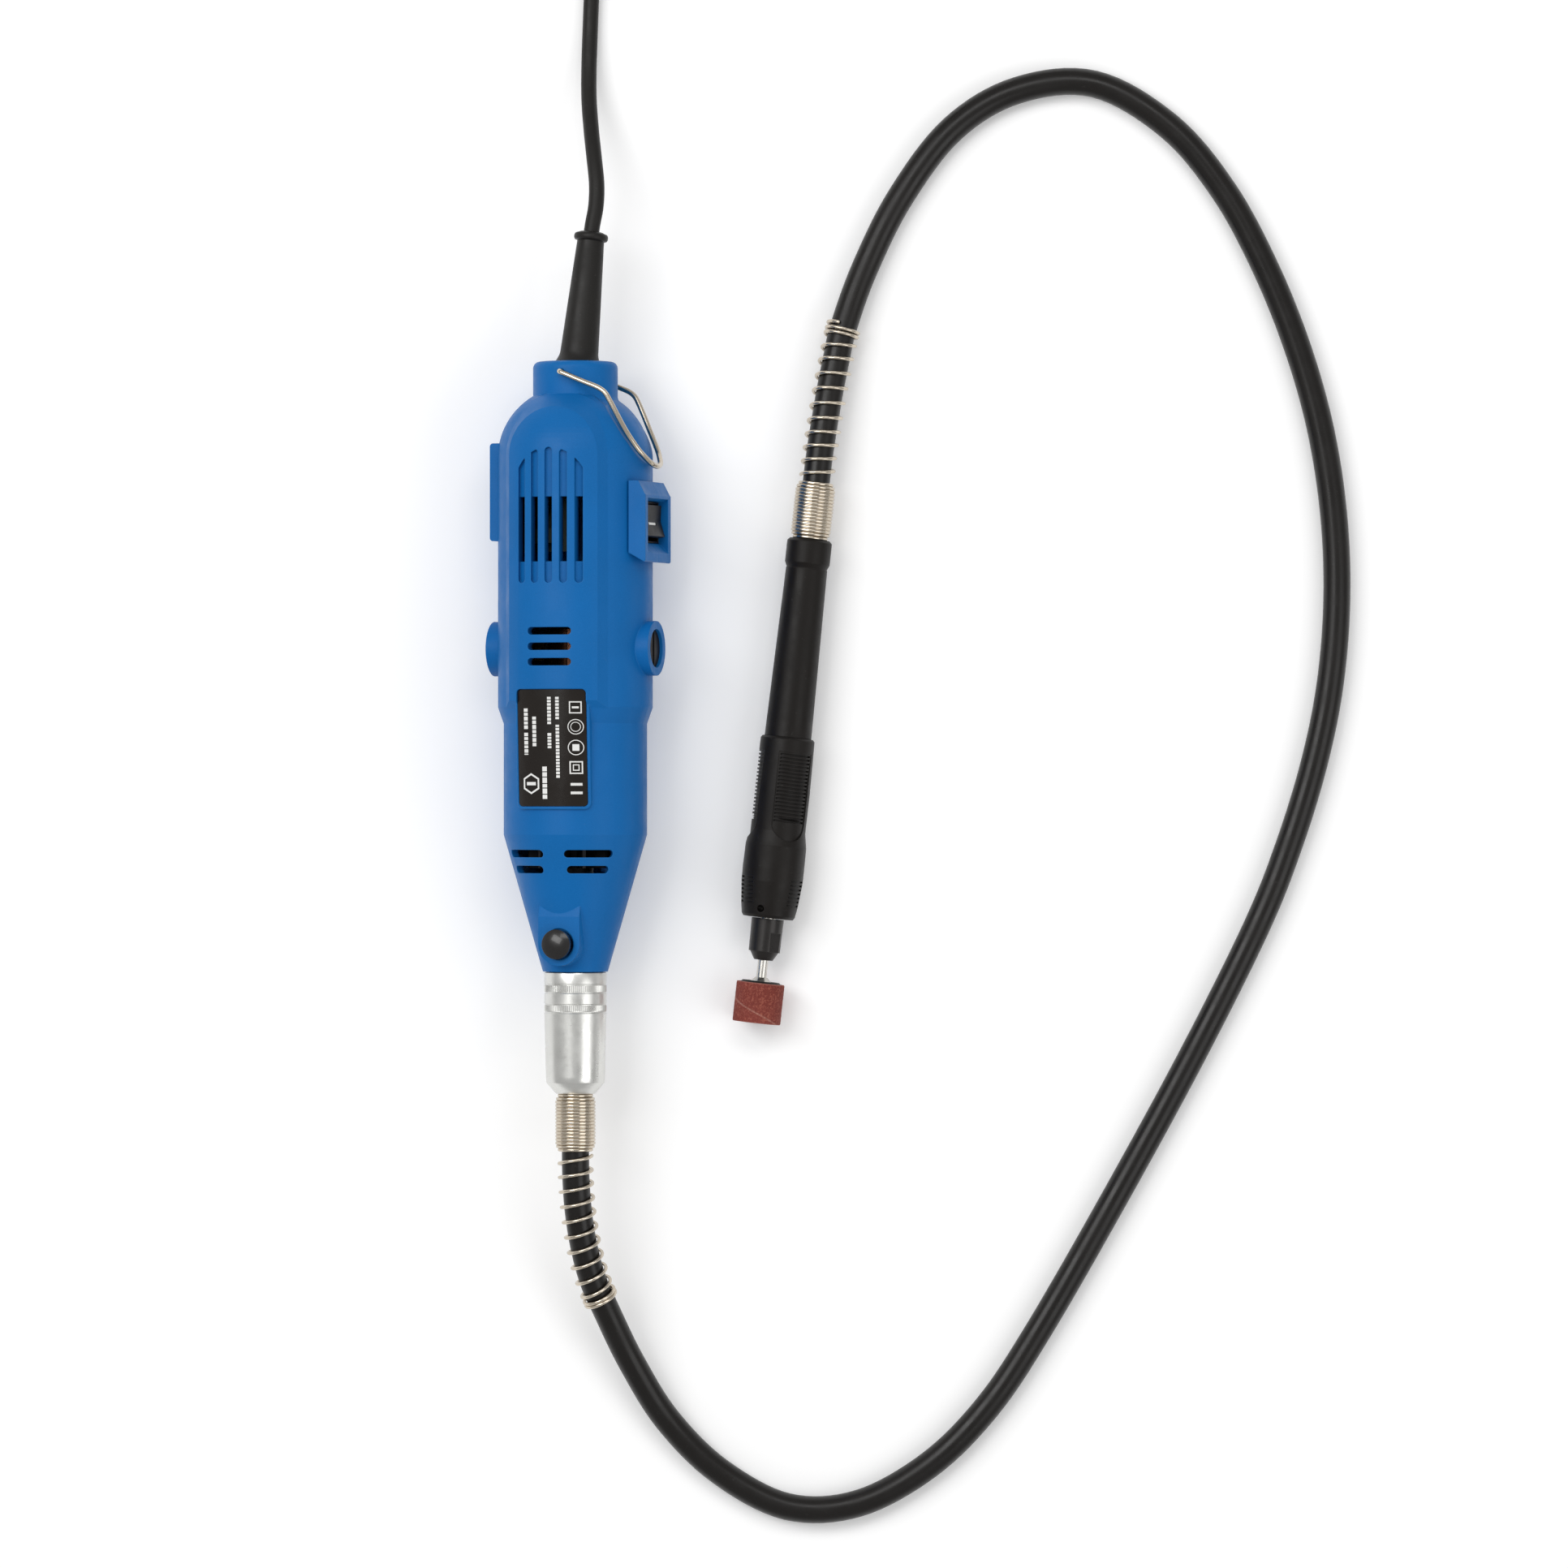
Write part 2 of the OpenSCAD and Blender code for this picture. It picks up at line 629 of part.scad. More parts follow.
sleeve_groove_r = 6.2;
sleeve_flange_r = 8.4;
sleeve_flare_r = 7.25;
clamp_s = 16;
sleeve_from = cord_route[1];
sleeve_dir = unit(cord_route[3] - cord_route[1]);
sleeve_lean = atan2(sleeve_dir[0], sleeve_dir[1]);
sleeve_drop = asin(sleeve_dir[2]);
module along_sleeve() {
  translate(sleeve_from) rotate([sleeve_drop - 90, 0, -sleeve_lean]) children();
}
module cord_sleeve() {
  color("#2a2724") difference() {
    union() {
      place_tool() {
        translate([0, 0, wall]) cylinder(r = sleeve_flange_r, h = 2.4);
        cylinder(r = sleeve_groove_r, h = wall + 0.1);
        translate([0, 0, -2.75]) cylinder(r1 = 6, r2 = sleeve_flare_r, h = 2.75);
      }
      along_sleeve() {
        translate([0, 0, 10]) cylinder(r1 = 5.9, r2 = 4.15, h = 36.5);
        translate([0, 0, 46]) cylinder(r1 = 4.4, r2 = 5.25, h = 1);
        translate([0, 0, 47]) cylinder(r = 5.25, h = 1);
        translate([0, 0, 48]) cylinder(r1 = 5.25, r2 = 3.6, h = 1.6);
      }
    }
    along_sleeve() cylinder(r = cord_r + loose, h = 60);
    place_tool() translate([0, 0, wall + 1.5]) cylinder(r = cord_r + 1.5, h = 6);
  }
}
module cord_clamp() {
  color("#c9c6bd") place_tool() difference() {
    translate([-8, -cord_r + 0.2, clamp_s - 3]) cube([16, 2 * cord_r + 2, 6]);
    cylinder(r = cord_r + 0.05, h = 60);
    for (m = [-1, 1]) translate([m * 5.6, 0, clamp_s]) rotate([90, 0, 0])
      cylinder(r = clamp_screw_r + seat, h = 60, center = true);
  }
}
clamp_screw_r = 1;
module clamp_screws() {
  color("#8a8d90") place_tool() for (m = [-1, 1]) translate([m * 5.6, cord_r + 2.2, clamp_s])
    rotate([-90, 0, 0]) {
      cylinder(r = 1.8, h = 1.4);
      translate([0, 0, -2 * cord_r - 1.9]) cylinder(r = clamp_screw_r, h = 2 * cord_r + 2);
    }
}
module mains_cord() {
  color("#24221f") tube(tube_frames(cord_route, 2), cord_r, 12);
}

// The stored coil, its tie, its tail and its plug
coil_x = tool_x + 39;
coil_y = neck_y + 164;
tie_t = 0.8;
coil_in = coil_mean_d / 2 - 2 * cord_d;
coil_out = coil_mean_d / 2 + 2 * cord_d;
coil_h = cord_d * (1 + 2 * sin(60));
module coil_section(grow) {
  translate([coil_mean_d / 2, tie_t + coil_h / 2])
    rounded_rect(4 * cord_d + 2 * grow, coil_h + 2 * grow, cord_r);
}
module cord_coil() {
  color("#24221f") translate([coil_x, coil_y, 0]) rotate_extrude($fn = 64) coil_section(0);
}
module cord_tie() {
  color("#151515") translate([coil_x, coil_y, 0]) rotate(250) intersection() {
    difference() {
      rotate_extrude($fn = 64) coil_section(tie_t);
      rotate_extrude($fn = 64) coil_section(0);
    }
    translate([0, -4, 0]) cube([60, 8, 30]);
  }
}
tail_route = [for (p = cord_tail_points) [coil_x + p[0], coil_y + p[1], p[2]]];
module cord_tail() {
  color("#24221f") tube(tube_frames(tail_route, 2), cord_r, 12);
}
plug_w = 35;
plug_len = 34;
plug_t = 13.7;
plug_pin_r = 2;
plug_root_r = 1.5;
plug_pin_len = 19;
plug_pin_gap = 18.6;
plug_relief_len = 22;
module place_plug() {
  translate(tail_route[len(tail_route) - 1] + [-8, 0, 0]) rotate([0, 90, 0]) children();
}
module plug_body() {
  color("#1b1a19") translate(tail_route[len(tail_route) - 1] + [-8, 0, 0]) difference() {
    union() {
      translate([plug_relief_len, 0, -6.85]) linear_extrude(plug_t) hull() {
        for (y = [-1, 1]) {
          translate([plug_len - 3, y * (plug_w / 2 - 3)]) circle(3);
          translate([4, y * 6]) circle(4);
          translate([17, y * (plug_w / 2 - 4)]) circle(4);
        }
      }
      rotate([0, 90, 0]) cylinder(r1 = 3.6, r2 = 5.2, h = plug_relief_len + 1);
    }
    rotate([0, 90, 0]) cylinder(r = cord_r + loose, h = 8.4);
    for (x = [3 : 3.4 : 17]) translate([x, 0, 0]) rotate([0, 90, 0]) difference() {
      cylinder(r = 9, h = 1.4);
      cylinder(r = 3.4, h = 1.4);
    }
    for (y = [-1, 1]) translate([plug_relief_len + plug_len - 6, y * plug_pin_gap / 2, 0])
      rotate([0, 90, 0]) cylinder(r = plug_root_r + seat, h = 10);
  }
}
module plug_pins() {
  color("#c8c4b8") translate(tail_route[len(tail_route) - 1] + [-8, 0, 0])
    for (y = [-1, 1]) translate([plug_relief_len + plug_len - 6, y * plug_pin_gap / 2, 0])
    rotate([0, 90, 0]) {
      cylinder(r = plug_root_r, h = 6);
      translate([0, 0, 6]) cylinder(r = plug_pin_r, h = plug_pin_len - 1);
      translate([0, 0, plug_pin_len + 5]) cylinder(r1 = plug_pin_r, r2 = 1.2, h = 1);
    }
}

// ---- Bail ----

bail_s = 3.5;
bail_half = [[0, neck_r + 1.3, 0], [0.3, neck_r + 2.1, 0.1], [1.4, neck_r + 2.4, 0.6],
  [4.4, 15.1, 1.9], [8, 14.8, 3.4], [12.2, 14.5, 5.1], [14.4, 14.2, 6.7], [15.9, 13.8, 9.2],
  [18, 13.1, 13.4], [20, 12.2, 17.5], [22, 10.9, 21.2], [24, 8.8, 24.7], [25.8, 5.2, 27.6],
  [26.3, 2.6, 28.5]];
bail_route = concat(
  [for (p = bail_half) [p[0], p[1], bail_s + p[2]]],
  [[26.5, 0, bail_s + 28.8]],
  [for (i = [len(bail_half) - 1 : -1 : 0]) [bail_half[i][0], -bail_half[i][1], bail_s + bail_half[i][2]]]);
module hanging_bail() {
  color("#c9c4b8") place_tool() {
    tube(tube_frames(bail_route, 1, [0.73, 0, -0.68]), bail_wire / 2, 10);
    for (m = [-1, 1]) translate([0, 0, bail_s]) rotate([m * -90, 0, 0])
      translate([0, 0, neck_r - wall - 0.4]) cylinder(r = bail_wire / 2, h = wall + 2.4);
  }
}

// ---- Switch and speed control ----

rocker_x = rocker_face - 4;
rocker_pin_r = 1;
rocker_end = rocker_len / 2 - 1.25;
module switch_body() {
  color("#1c1b1a") place_tool() difference() {
    translate([rocker_x - 14, -rocker_w / 2, box_s - rocker_len / 2])
      cube([14 + 2.2, rocker_w, rocker_len]);
    translate([rocker_x - 2.6, -rocker_w / 2 + 0.6, box_s - rocker_len / 2 + 0.5])
      cube([10, rocker_w - 1.2, rocker_len - 1]);
    translate([rocker_x, 0, box_s]) rotate([90, 0, 0])
      cylinder(r = rocker_pin_r + running, h = 40, center = true);
  }
}
module rocker_shape() {
  difference() {
    prism_y(-rocker_w / 2 + 0.6 + free, rocker_w / 2 - 0.6 - free)
      polygon([[-1.6, -1.6], [2.4, -rocker_end], [4, 0.2 - rocker_end], [3.2, 0],
        [4, rocker_end - 0.2], [2.4, rocker_end], [-1.6, 1.6]]);
    prism_y(-3.4, 3.4) translate([3.45, 0.9]) square([0.7, 0.8], center = true);
  }
  rotate([90, 0, 0]) cylinder(r = rocker_pin_r, h = rocker_w - 0.4, center = true);
}
module switch_rocker() {
  color("#1a1918") place_tool() translate([rocker_x, 0, box_s])
    rotate([0, rocker_swing / 2, 0]) rocker_shape();
}
module speed_dial() {
  color("#191817") place_tool() translate([dial_x, 0, dial_s]) rotate([90, 0, 0]) difference() {
    cylinder(r = dial_d / 2, h = dial_t, center = true);
    for (k = [0 : 29]) rotate(12 * k) translate([dial_d / 2 + 0.15, 0, 0])
      cylinder(r = 0.55, h = dial_t + 1, center = true, $fn = 16);
    cylinder(r = dial_pin_r + running, h = dial_t + 1, center = true);
  }
}
dial_pin_r = 1.5;
module speed_board() {
  color("#2f6b43") place_tool() {
    translate([dial_x - 2.5, -dial_t / 2 - 3.4, dial_s - 6]) cube([15, 1.6, 24]);
    translate([dial_x, -dial_t / 2 - 2, dial_s]) rotate([-90, 0, 0]) {
      cylinder(r = 3.4, h = 2 - free);
      cylinder(r = dial_pin_r, h = dial_t + 2.4);
    }
    translate([dial_x + 2, -dial_t / 2 - 2, dial_s + 11]) cube([8, 6, 4.5]);
  }
}

// ---- Motor ----

core_s = step_s + 6;                    // where the stator and the armature's core start
core_end = core_s + core_len;
armature_r = armature_d / 2;
pole_r = armature_r + air_gap;
yoke_r = pole_r + 4;
stator_r = grip_r - wall - loose;
module sector(r0, r1, h, half) {
  rotate([0, 0, -half]) rotate_extrude(angle = 2 * half) translate([r0, 0]) square([r1 - r0, h]);
}
module stator_core() {
  color("#5f6265") place_tool() translate([0, 0, core_s]) linear_extrude(core_len) difference() {
    circle(stator_r);
    circle(pole_r);
    intersection() {
      circle(yoke_r);
      for (m = [-1, 1]) polygon([[0, 0], [m * 30, 30 * tan(38)], [m * 30, -30 * tan(38)]]);
    }
  }
}
module field_windings() {
  color("#b06a35") place_tool() for (m = [90, 270]) rotate(m) {
    for (side = [-1, 1]) rotate(side * 66) translate([0, 0, core_s - 4])
      sector(pole_r + 0.4, yoke_r - 0.3, core_len + 8, 9.5);
    for (z = [core_s - 4, core_end + 0.3]) translate([0, 0, z])
      sector(pole_r + 0.4, yoke_r - 0.3, 3.7, 75);
  }
}
module armature_core() {
  color("#74777a") place_tool() translate([0, 0, core_s]) difference() {
    cylinder(r = armature_r, h = core_len);
    for (k = [0 : 11]) rotate(30 * k) translate([armature_r, 0, core_len / 2])
      cube([5, 1.6, core_len + 2], center = true);
    translate([0, 0, -1]) cylinder(r = shaft_d / 2, h = core_len + 2);
  }
}
module armature_windings() {
  color("#b8743c") place_tool() for (z = [core_s - 5, core_end]) translate([0, 0, z])
    rotate_extrude() translate([shaft_d / 2 + 0.4, 0]) square([armature_r - shaft_d / 2 - 1.8, 5]);
}
commutator_s = brush_s - commutator_len / 2;
module commutator() {
  color("#b5713d") place_tool() translate([0, 0, commutator_s]) difference() {
    cylinder(r = commutator_d / 2, h = commutator_len);
    for (k = [0 : 15]) rotate(22.5 * k) translate([commutator_d / 2, 0, commutator_len / 2])
      cube([1.4, 0.4, commutator_len + 2], center = true);
    translate([0, 0, -1]) cylinder(r = shaft_d / 2, h = commutator_len + 2);
  }
}
shaft_start = rear_bearing_s - 1.5;
collet_s = nose_s + thread_len;
module motor_shaft() {
  color("#a9acae") place_tool() difference() {
    union() {
      translate([0, 0, shaft_start]) cylinder(r = shaft_d / 2, h = front_bearing_s - shaft_start - 1.5);
      translate([0, 0, front_bearing_s - 1.6]) cylinder(r = journal_r + 1, h = 1.6);
      translate([0, 0, front_bearing_s]) cylinder(r = journal_r, h = front_bearing_len);
      translate([0, 0, front_bearing_s + front_bearing_len])
        cylinder(r = spindle_r, h = collet_s + 6 - front_bearing_s - front_bearing_len);
    }
    translate([0, 0, button_s]) rotate([90, 0, 0]) cylinder(r = pin_r + 0.1, h = 40, center = true);
    translate([0, 0, collet_s - 6]) cylinder(r = collet_r + seat, h = 30);
  }
}
fan_s = core_end + 6.2;
fan_r = min(cone_r(fan_s + 9) - wall - 1, grip_r - wall - 1.5);
module cooling_fan() {
  color("#d8d4c8") place_tool() translate([0, 0, fan_s]) difference() {
    union() {
      cylinder(r = 5.5, h = 9);
      cylinder(r = fan_r, h = 1.2);
      for (k = [0 : blade_count - 1]) rotate(360 / blade_count * k)
        translate([5, -0.5, 0]) cube([fan_r - 5.6, 1, 7]);
    }
    translate([0, 0, -1]) cylinder(r = shaft_d / 2, h = 12);
  }
}
// A ball bearing drawn as its two rings with the balls' shield between them
module bearing(outer, inner, len) {
  ring_t = (outer - inner) * 0.28;
  difference() {
    cylinder(r = outer, h = len);
    translate([0, 0, -1]) cylinder(r = inner + running, h = len + 2);
    for (z = [-1, len - 0.5]) translate([0, 0, z]) difference() {
      cylinder(r = outer - ring_t, h = 1.5);
      cylinder(r = inner + ring_t, h = 1.5);
    }
  }
}
module rear_bearing() {
  color("#bfc2c4") place_tool() translate([0, 0, rear_bearing_s])
    bearing(rear_bearing_d / 2, shaft_d / 2, rear_bearing_len);
}
module front_bearing() {
  color("#bfc2c4") place_tool() translate([0, 0, front_bearing_s])
    bearing(front_bearing_d / 2, journal_r, front_bearing_len);
}

// Brushes: a brass holder, a carbon block, its spring and the screwed cap
brush_w = 4.6;
brush_h = 6;
holder_in = commutator_d / 2 + 1.2;
holder_out = cap_face - cap_len;
brush_len = (holder_out - holder_in) * 0.62;
module both_brushes() {
  place_tool() for (m = [-1, 1]) translate([0, 0, brush_s]) along_x(m) children();
}
module brush_holders() {
  color("#c09a4e") both_brushes() translate([0, 0, holder_in]) difference() {
    union() {
      translate([-brush_h / 2 - 0.7, -brush_w / 2 - 0.7, 0])
        cube([brush_h + 1.4, brush_w + 1.4, holder_out - holder_in - 2.2]);
      translate([0, 0, holder_out - holder_in - 2.2]) cylinder(r = boss_r - 2.9, h = 2.2);
    }
    translate([-brush_h / 2 - 0.05, -brush_w / 2 - 0.05, -1])
      cube([brush_h + 0.1, brush_w + 0.1, holder_out - holder_in + 2]);
  }
}
module carbon_brushes() {
  color("#33312f") both_brushes() translate([-brush_h / 2, -brush_w / 2, commutator_d / 2 + 0.1])
    cube([brush_h, brush_w, brush_len]);
}
module brush_springs() {
  color("#c9ccce") both_brushes() {
    first = commutator_d / 2 + 0.1 + brush_len;
    room = cap_face - cap_len - first;
    turn_r = room * 0.0858;
    for (k = [0 : 5]) translate([0, 0, first + turn_r + k * (room - 2 * turn_r) / 5])
      rotate_extrude() translate([1.7, 0]) circle(turn_r, $fn = 16);
  }
}
module brush_caps() {
  color("#201e1d") both_brushes() translate([0, 0, cap_face - cap_len]) difference() {
    cylinder(r = cap_r, h = cap_len);
    translate([0, 0, cap_len]) cube([2 * cap_r + 1, 1.6, 2.4], center = true);
  }
}

// ---- Nose ----

collet_r = 2.6;
adapter_r = shank_d / 2;
collet_len = 14;
nut_r = 5.6;
module tool_collet() {
  color("#9b9ea0") place_tool() translate([0, 0, collet_s - 5.5]) difference() {
    union() {
      cylinder(r = collet_r, h = collet_len);
      translate([0, 0, collet_len]) cylinder(r1 = collet_r, r2 = adapter_r + 0.5, h = 1.5);
    }
    translate([0, 0, -1]) cylinder(r = adapter_r + seat, h = collet_len + 4);
    for (k = [0, 90]) rotate(k) translate([0, 0, collet_len])
      cube([8, 0.5, 12], center = true);
  }
}
module collet_nut() {
  color("#a7aaac") place_tool() translate([0, 0, collet_s + 1]) difference() {
    cylinder(r = nut_r, h = 10.5);
    translate([0, 0, -1]) cylinder(r = spindle_r + seat, h = 6.4);
    cylinder(r = collet_r + seat, h = 8.6);
    cylinder(r = adapter_r + 0.7, h = 12);
    for (k = [0 : 5]) rotate(60 * k) translate([nut_r + 0.4, 0, 7]) cube([2, 4, 8], center = true);
  }
}
module drive_adapter() {
  color("#b4b6b8") place_tool() {
    translate([0, 0, collet_s - 4]) cylinder(r = adapter_r, h = sheath_s - 12 - collet_s + 4);
    translate([0, 0, sheath_s - 14]) cylinder(r = adapter_r + 0.6, h = 2);
  }
}
button_top = pad_y + 1.6;
module lock_button() {
  color("#191817") place_tool() translate([0, 0, button_s]) rotate([-90, 0, 0]) {
    translate([0, 0, spindle_r + 0.25 + button_travel]) cylinder(r = pin_r, h = pad_y - 4);
    translate([0, 0, pad_y - 0.9 + button_travel]) intersection() {
      cylinder(r = button_d / 2, h = button_top - pad_y + 0.9);
      translate([0, 0, button_top - pad_y + 0.9 - 9.5]) sphere(9.5);
    }
    translate([0, 0, pad_y - 4]) cylinder(r = button_stem_r, h = 5.6);
  }
}
module lock_spring() {
  color("#c9ccce") place_tool() translate([0, 0, button_s]) rotate([-90, 0, 0])
    for (k = [0 : 3]) translate([0, 0, pad_y - 5.95 + k * 0.5])
    rotate_extrude() translate([2.2, 0]) circle(0.27, $fn = 16);
}
coupling_mouth_r = ferrule_d / 2 - 0.7;
module coupling_nut() {
  color("#cfd0cc") place_tool() difference() {
    rotate_extrude() polygon([[0, coupling_s], [coupling_d / 2 - 0.4, coupling_s],
      [coupling_d / 2, coupling_s + 0.4], [coupling_d / 2 - 0.6, coupling_end - 3.4],
      [ferrule_d / 2 - 0.3, coupling_end], [0, coupling_end]]);
    // Thread, room for the collet nut, and the ferrule's seat
    translate([0, 0, coupling_s - 1]) cylinder(r = thread_r + seat, h = thread_len + 1.4);
    translate([0, 0, coupling_s + thread_len])
      cylinder(r = thread_r - 0.9, h = coupling_len - thread_len - 4);
    cylinder(r = coupling_mouth_r + seat, h = 400);
    for (z = [3.4, 9.2]) for (dz = [0 : 0.6 : 2.4]) translate([0, 0, coupling_s + z + dz])
      rotate_extrude() translate([coupling_d / 2 - 0.25, 0]) square([1, 0.3]);
  }
}

// ---- Flexible shaft ----

rib_count = 16;
// A ferrule: a ribbed sleeve, with a smaller neck on the side of its own piece
module ferrule(neck_r0, neck_len0, flange_r, bore_at) {
  rib = ferrule_len / rib_count;
  difference() {
    union() {
      rotate_extrude() polygon(concat([[0, 0]],
        [for (k = [0 : rib_count - 1]) let(r = ferrule_d / 2 - (k == 0 || k == rib_count - 1 ? 0.5 : 0))
          each [[r - 0.4, rib * k], [r, rib * (k + 0.28)],
            [r, rib * (k + 0.6)], [r - 0.4, rib * (k + 0.88)]]],
        [[0, ferrule_len]]));
      translate([0, 0, -neck_len0]) cylinder(r = neck_r0, h = neck_len0 + 0.1);
      translate([0, 0, -neck_len0]) cylinder(r = flange_r, h = 2);
    }
    translate([0, 0, bore_at]) cylinder(r = sheath_r + loose, h = ferrule_len);
    translate([0, 0, -neck_len0 - 1]) cylinder(r = core_d / 2 + 0.9, h = 60);
  }
}
module tool_ferrule() {
  color("#c8bda6") place_tool() translate([0, 0, coupling_end])
    ferrule(coupling_mouth_r, 6.4, thread_r - 1.1, sheath_s - coupling_end);
}
module hand_ferrule() {
  color("#c8bda6") place_hand() mirror([0, 0, 1])
    ferrule(hand_tube_bore - seat, 8, hand_tube_bore - seat, 8);
}
spring_r = (spring_d - spring_wire) / 2;
module spring_tube(frames) {
  tube(frames, spring_wire / 2, 6);
}
module tool_spring() {
  color("#c9c6bc") spring_tube(coil_frames(flex_route, 1.12, 1, 10.2, spring_r, 9.8, 1.75,
    4.6, spring_wire, 14));
}
module hand_spring() {
  color("#c9c6bc") spring_tube(coil_frames(flex_route, len(flex_route) - 2.16, -1, 9.9, spring_r,
    10, 2.2, 4.55, spring_wire, 14));
}
module flex_sheath() {
  color("#26221f") hollow_tube(tube_frames(flex_route, 2), sheath_r, core_d / 2 + 0.8, 12);
}
module flex_core() {
  color("#6c6a66") tube(tube_frames(core_route, 2), core_d / 2, 8);
}

// ---- Handpiece ----

hand_tube_bore = collar_d / 2 - 2;
grip_start = hand_tube_len;
grip_end = grip_start + hand_grip_len;
hand_r = hand_d / 2;
rear_bearing_t = grip_start + 8;
front_bearing_t = grip_end - 9;
hand_bearing_len = 4;
hand_spindle_r = hand_spindle_d / 2;
hand_wall = 1.6;
module hand_tube() {
  color("#211e1c") place_hand() difference() {
    rotate_extrude() polygon([[0, 0], [collar_d / 2 - 0.8, 0], [collar_d / 2, 0.8],
      [collar_d / 2, 7.4], [collar_d / 2 - 0.7, 9], [collar_d / 2 - 0.55, 9.2],
      [collar_d / 2 + 0.3, grip_start], [collar_d / 2 - 0.3, grip_start],
      [collar_d / 2 - 0.3, grip_start + 6], [0, grip_start + 6]]);
    translate([0, 0, -1]) cylinder(r = hand_tube_bore, h = grip_start + 8);
  }
}
// Outline of the grip: half-widths at stations along it, as shares of its length
grip_outline = [[0, -1.7], [0.012, -1.15], [0.3, -0.85], [0.52, -0.9], [0.6, -0.1], [0.72, 0],
  [0.8, -0.05], [0.93, -0.75], [0.985, -1.25], [1, -1.8]];
pad_count = 3;
pad_w = 11;
pad_ribs = 19;
lock_hole_t = grip_end - 2.7;
lock_hole_r = 1.1;
lock_seat = 0.9;
module pad_grooves(width, from, pitch, high, count, fall) {
  intersection() {
    rotate_extrude() for (i = [0 : count - 1])
      translate([hand_r - high - fall * i, from + pitch * i]) square([4, pitch * 0.46]);
    translate([0, -width / 2, 0]) cube([20, width, 400]);
  }
}
module grip_pads() {
  for (k = [0 : pad_count - 1]) {
    rotate(120 * k + 64) {
      pad_grooves(pad_w - 1, grip_start + 5.1, 1.14, 1.65, pad_ribs, 0);
      // The pad lies a little below the grip, with a round end
      intersection() {
        rotate_extrude() translate([hand_r - 1.15, grip_start]) square([4, 40]);
        translate([0, 0, grip_start]) rotate([0, 90, 0]) linear_extrude(20) {
          translate([-26.5, -pad_w / 2]) square([22, pad_w]);
          translate([-26.5, 0]) circle(pad_w / 2);
        }
      }
    }
    rotate(120 * k + 30) pad_grooves(7.2, grip_end - 12.25, 1.25, 0.6, 7, 0.09);
  }
}
module hand_grip() {
  color("#1f1c1a") place_hand() difference() {
    rotate_extrude() polygon(concat([[0, grip_start]],
      [for (p = grip_outline) [hand_r + p[1], grip_start + p[0] * hand_grip_len]], [[0, grip_end]]));
    // Spigot of the tube, bearing seats, spindle passage
    translate([0, 0, grip_start - 1]) cylinder(r = collar_d / 2 - 0.3 + seat, h = 7);
    translate([0, 0, rear_bearing_t]) cylinder(r = hand_bearing_d / 2 + seat, h = hand_bearing_len);
    translate([0, 0, grip_start]) cylinder(r = hand_bearing_d / 2 - 0.9, h = hand_grip_len - 9.5);
    translate([0, 0, front_bearing_t]) cylinder(r = hand_bearing_d / 2 + seat, h = hand_bearing_len);
    translate([0, 0, grip_start]) cylinder(r = hand_spindle_r + 0.6, h = hand_grip_len + 1);
    grip_pads();
    // The locking pin's hole runs across the passage and ends in a seat in the far wall
    translate([0, 0, lock_hole_t]) rotate([0, 0, 18]) rotate([-90, 0, 0])
      translate([0, 0, -hand_spindle_r - 0.6 - lock_seat]) cylinder(r = lock_hole_r, h = 30);
  }
}
module hand_rear_bearing() {
  color("#bfc2c4") place_hand() translate([0, 0, rear_bearing_t])
    bearing(hand_bearing_d / 2, hand_spindle_r, hand_bearing_len);
}
module hand_front_bearing() {
  color("#bfc2c4") place_hand() translate([0, 0, front_bearing_t])
    bearing(hand_bearing_d / 2, hand_spindle_r, hand_bearing_len);
}
spindle_t0 = 24;
module hand_spindle() {
  color("#a9acae") place_hand() difference() {
    union() {
      translate([0, 0, spindle_t0]) cylinder(r = hand_spindle_r, h = grip_end + 5.5 - spindle_t0);
      translate([0, 0, spindle_t0]) cylinder(r = hand_spindle_r + 0.8, h = 9);
    }
    translate([0, 0, spindle_t0 - 1]) cylinder(r = core_d / 2 + 0.4, h = 8);
    translate([0, 0, grip_end - 8]) cylinder(r = shank_d / 2 + 0.55, h = 20);
  }
}
shank_r = shank_d / 2;
chuck_t = grip_end + free;
chuck_len = 10.2;
chuck_tip = 2.6;
module hand_collet() {
  color("#9b9ea0") place_hand() translate([0, 0, grip_end - 7]) difference() {
    cylinder(r = shank_r + 0.55 - seat, h = 18.4);
    translate([0, 0, -1]) cylinder(r = shank_r + seat, h = 22);
    translate([0, 0, 15]) cube([8, 0.4, 12], center = true);
  }
}
module chuck_nut() {
  color("#211e1c") place_hand() translate([0, 0, chuck_t]) difference() {
    union() {
      cylinder(r1 = chuck_d / 2 + 0.1, r2 = chuck_d / 2 - 0.05, h = chuck_len);
      translate([0, 0, chuck_len]) cylinder(r1 = chuck_d / 2 - 0.5, r2 = chuck_d / 2 - 2, h = chuck_tip);
    }
    translate([0, 0, -1]) cylinder(r = hand_spindle_r + seat, h = 6.4);
    cylinder(r = shank_r + 0.55 + seat, h = 20);
    for (m = [0, 180]) rotate(m + 50) translate([chuck_d / 2 + 0.6, 0, chuck_len])
      cube([2, 12, 12], center = true);
  }
}
band_t = chuck_t + chuck_len + chuck_tip + 7.1;
band_r = band_d / 2;
rubber_r = band_r - 1;
rubber_rise = 0.5;
module mandrel() {
  color("#c9c9c4") place_hand() {
    translate([0, 0, grip_end - 6]) cylinder(r = shank_r, h = band_t - rubber_rise - 0.9 - grip_end + 6);
    translate([0, 0, band_t - rubber_rise - 1.2]) cylinder(r1 = 1.9, r2 = 3.1, h = 1.2);
    translate([0, 0, band_t - rubber_rise - 0.1]) cylinder(r = 1.3, h = 4.1 + rubber_rise);
  }
}
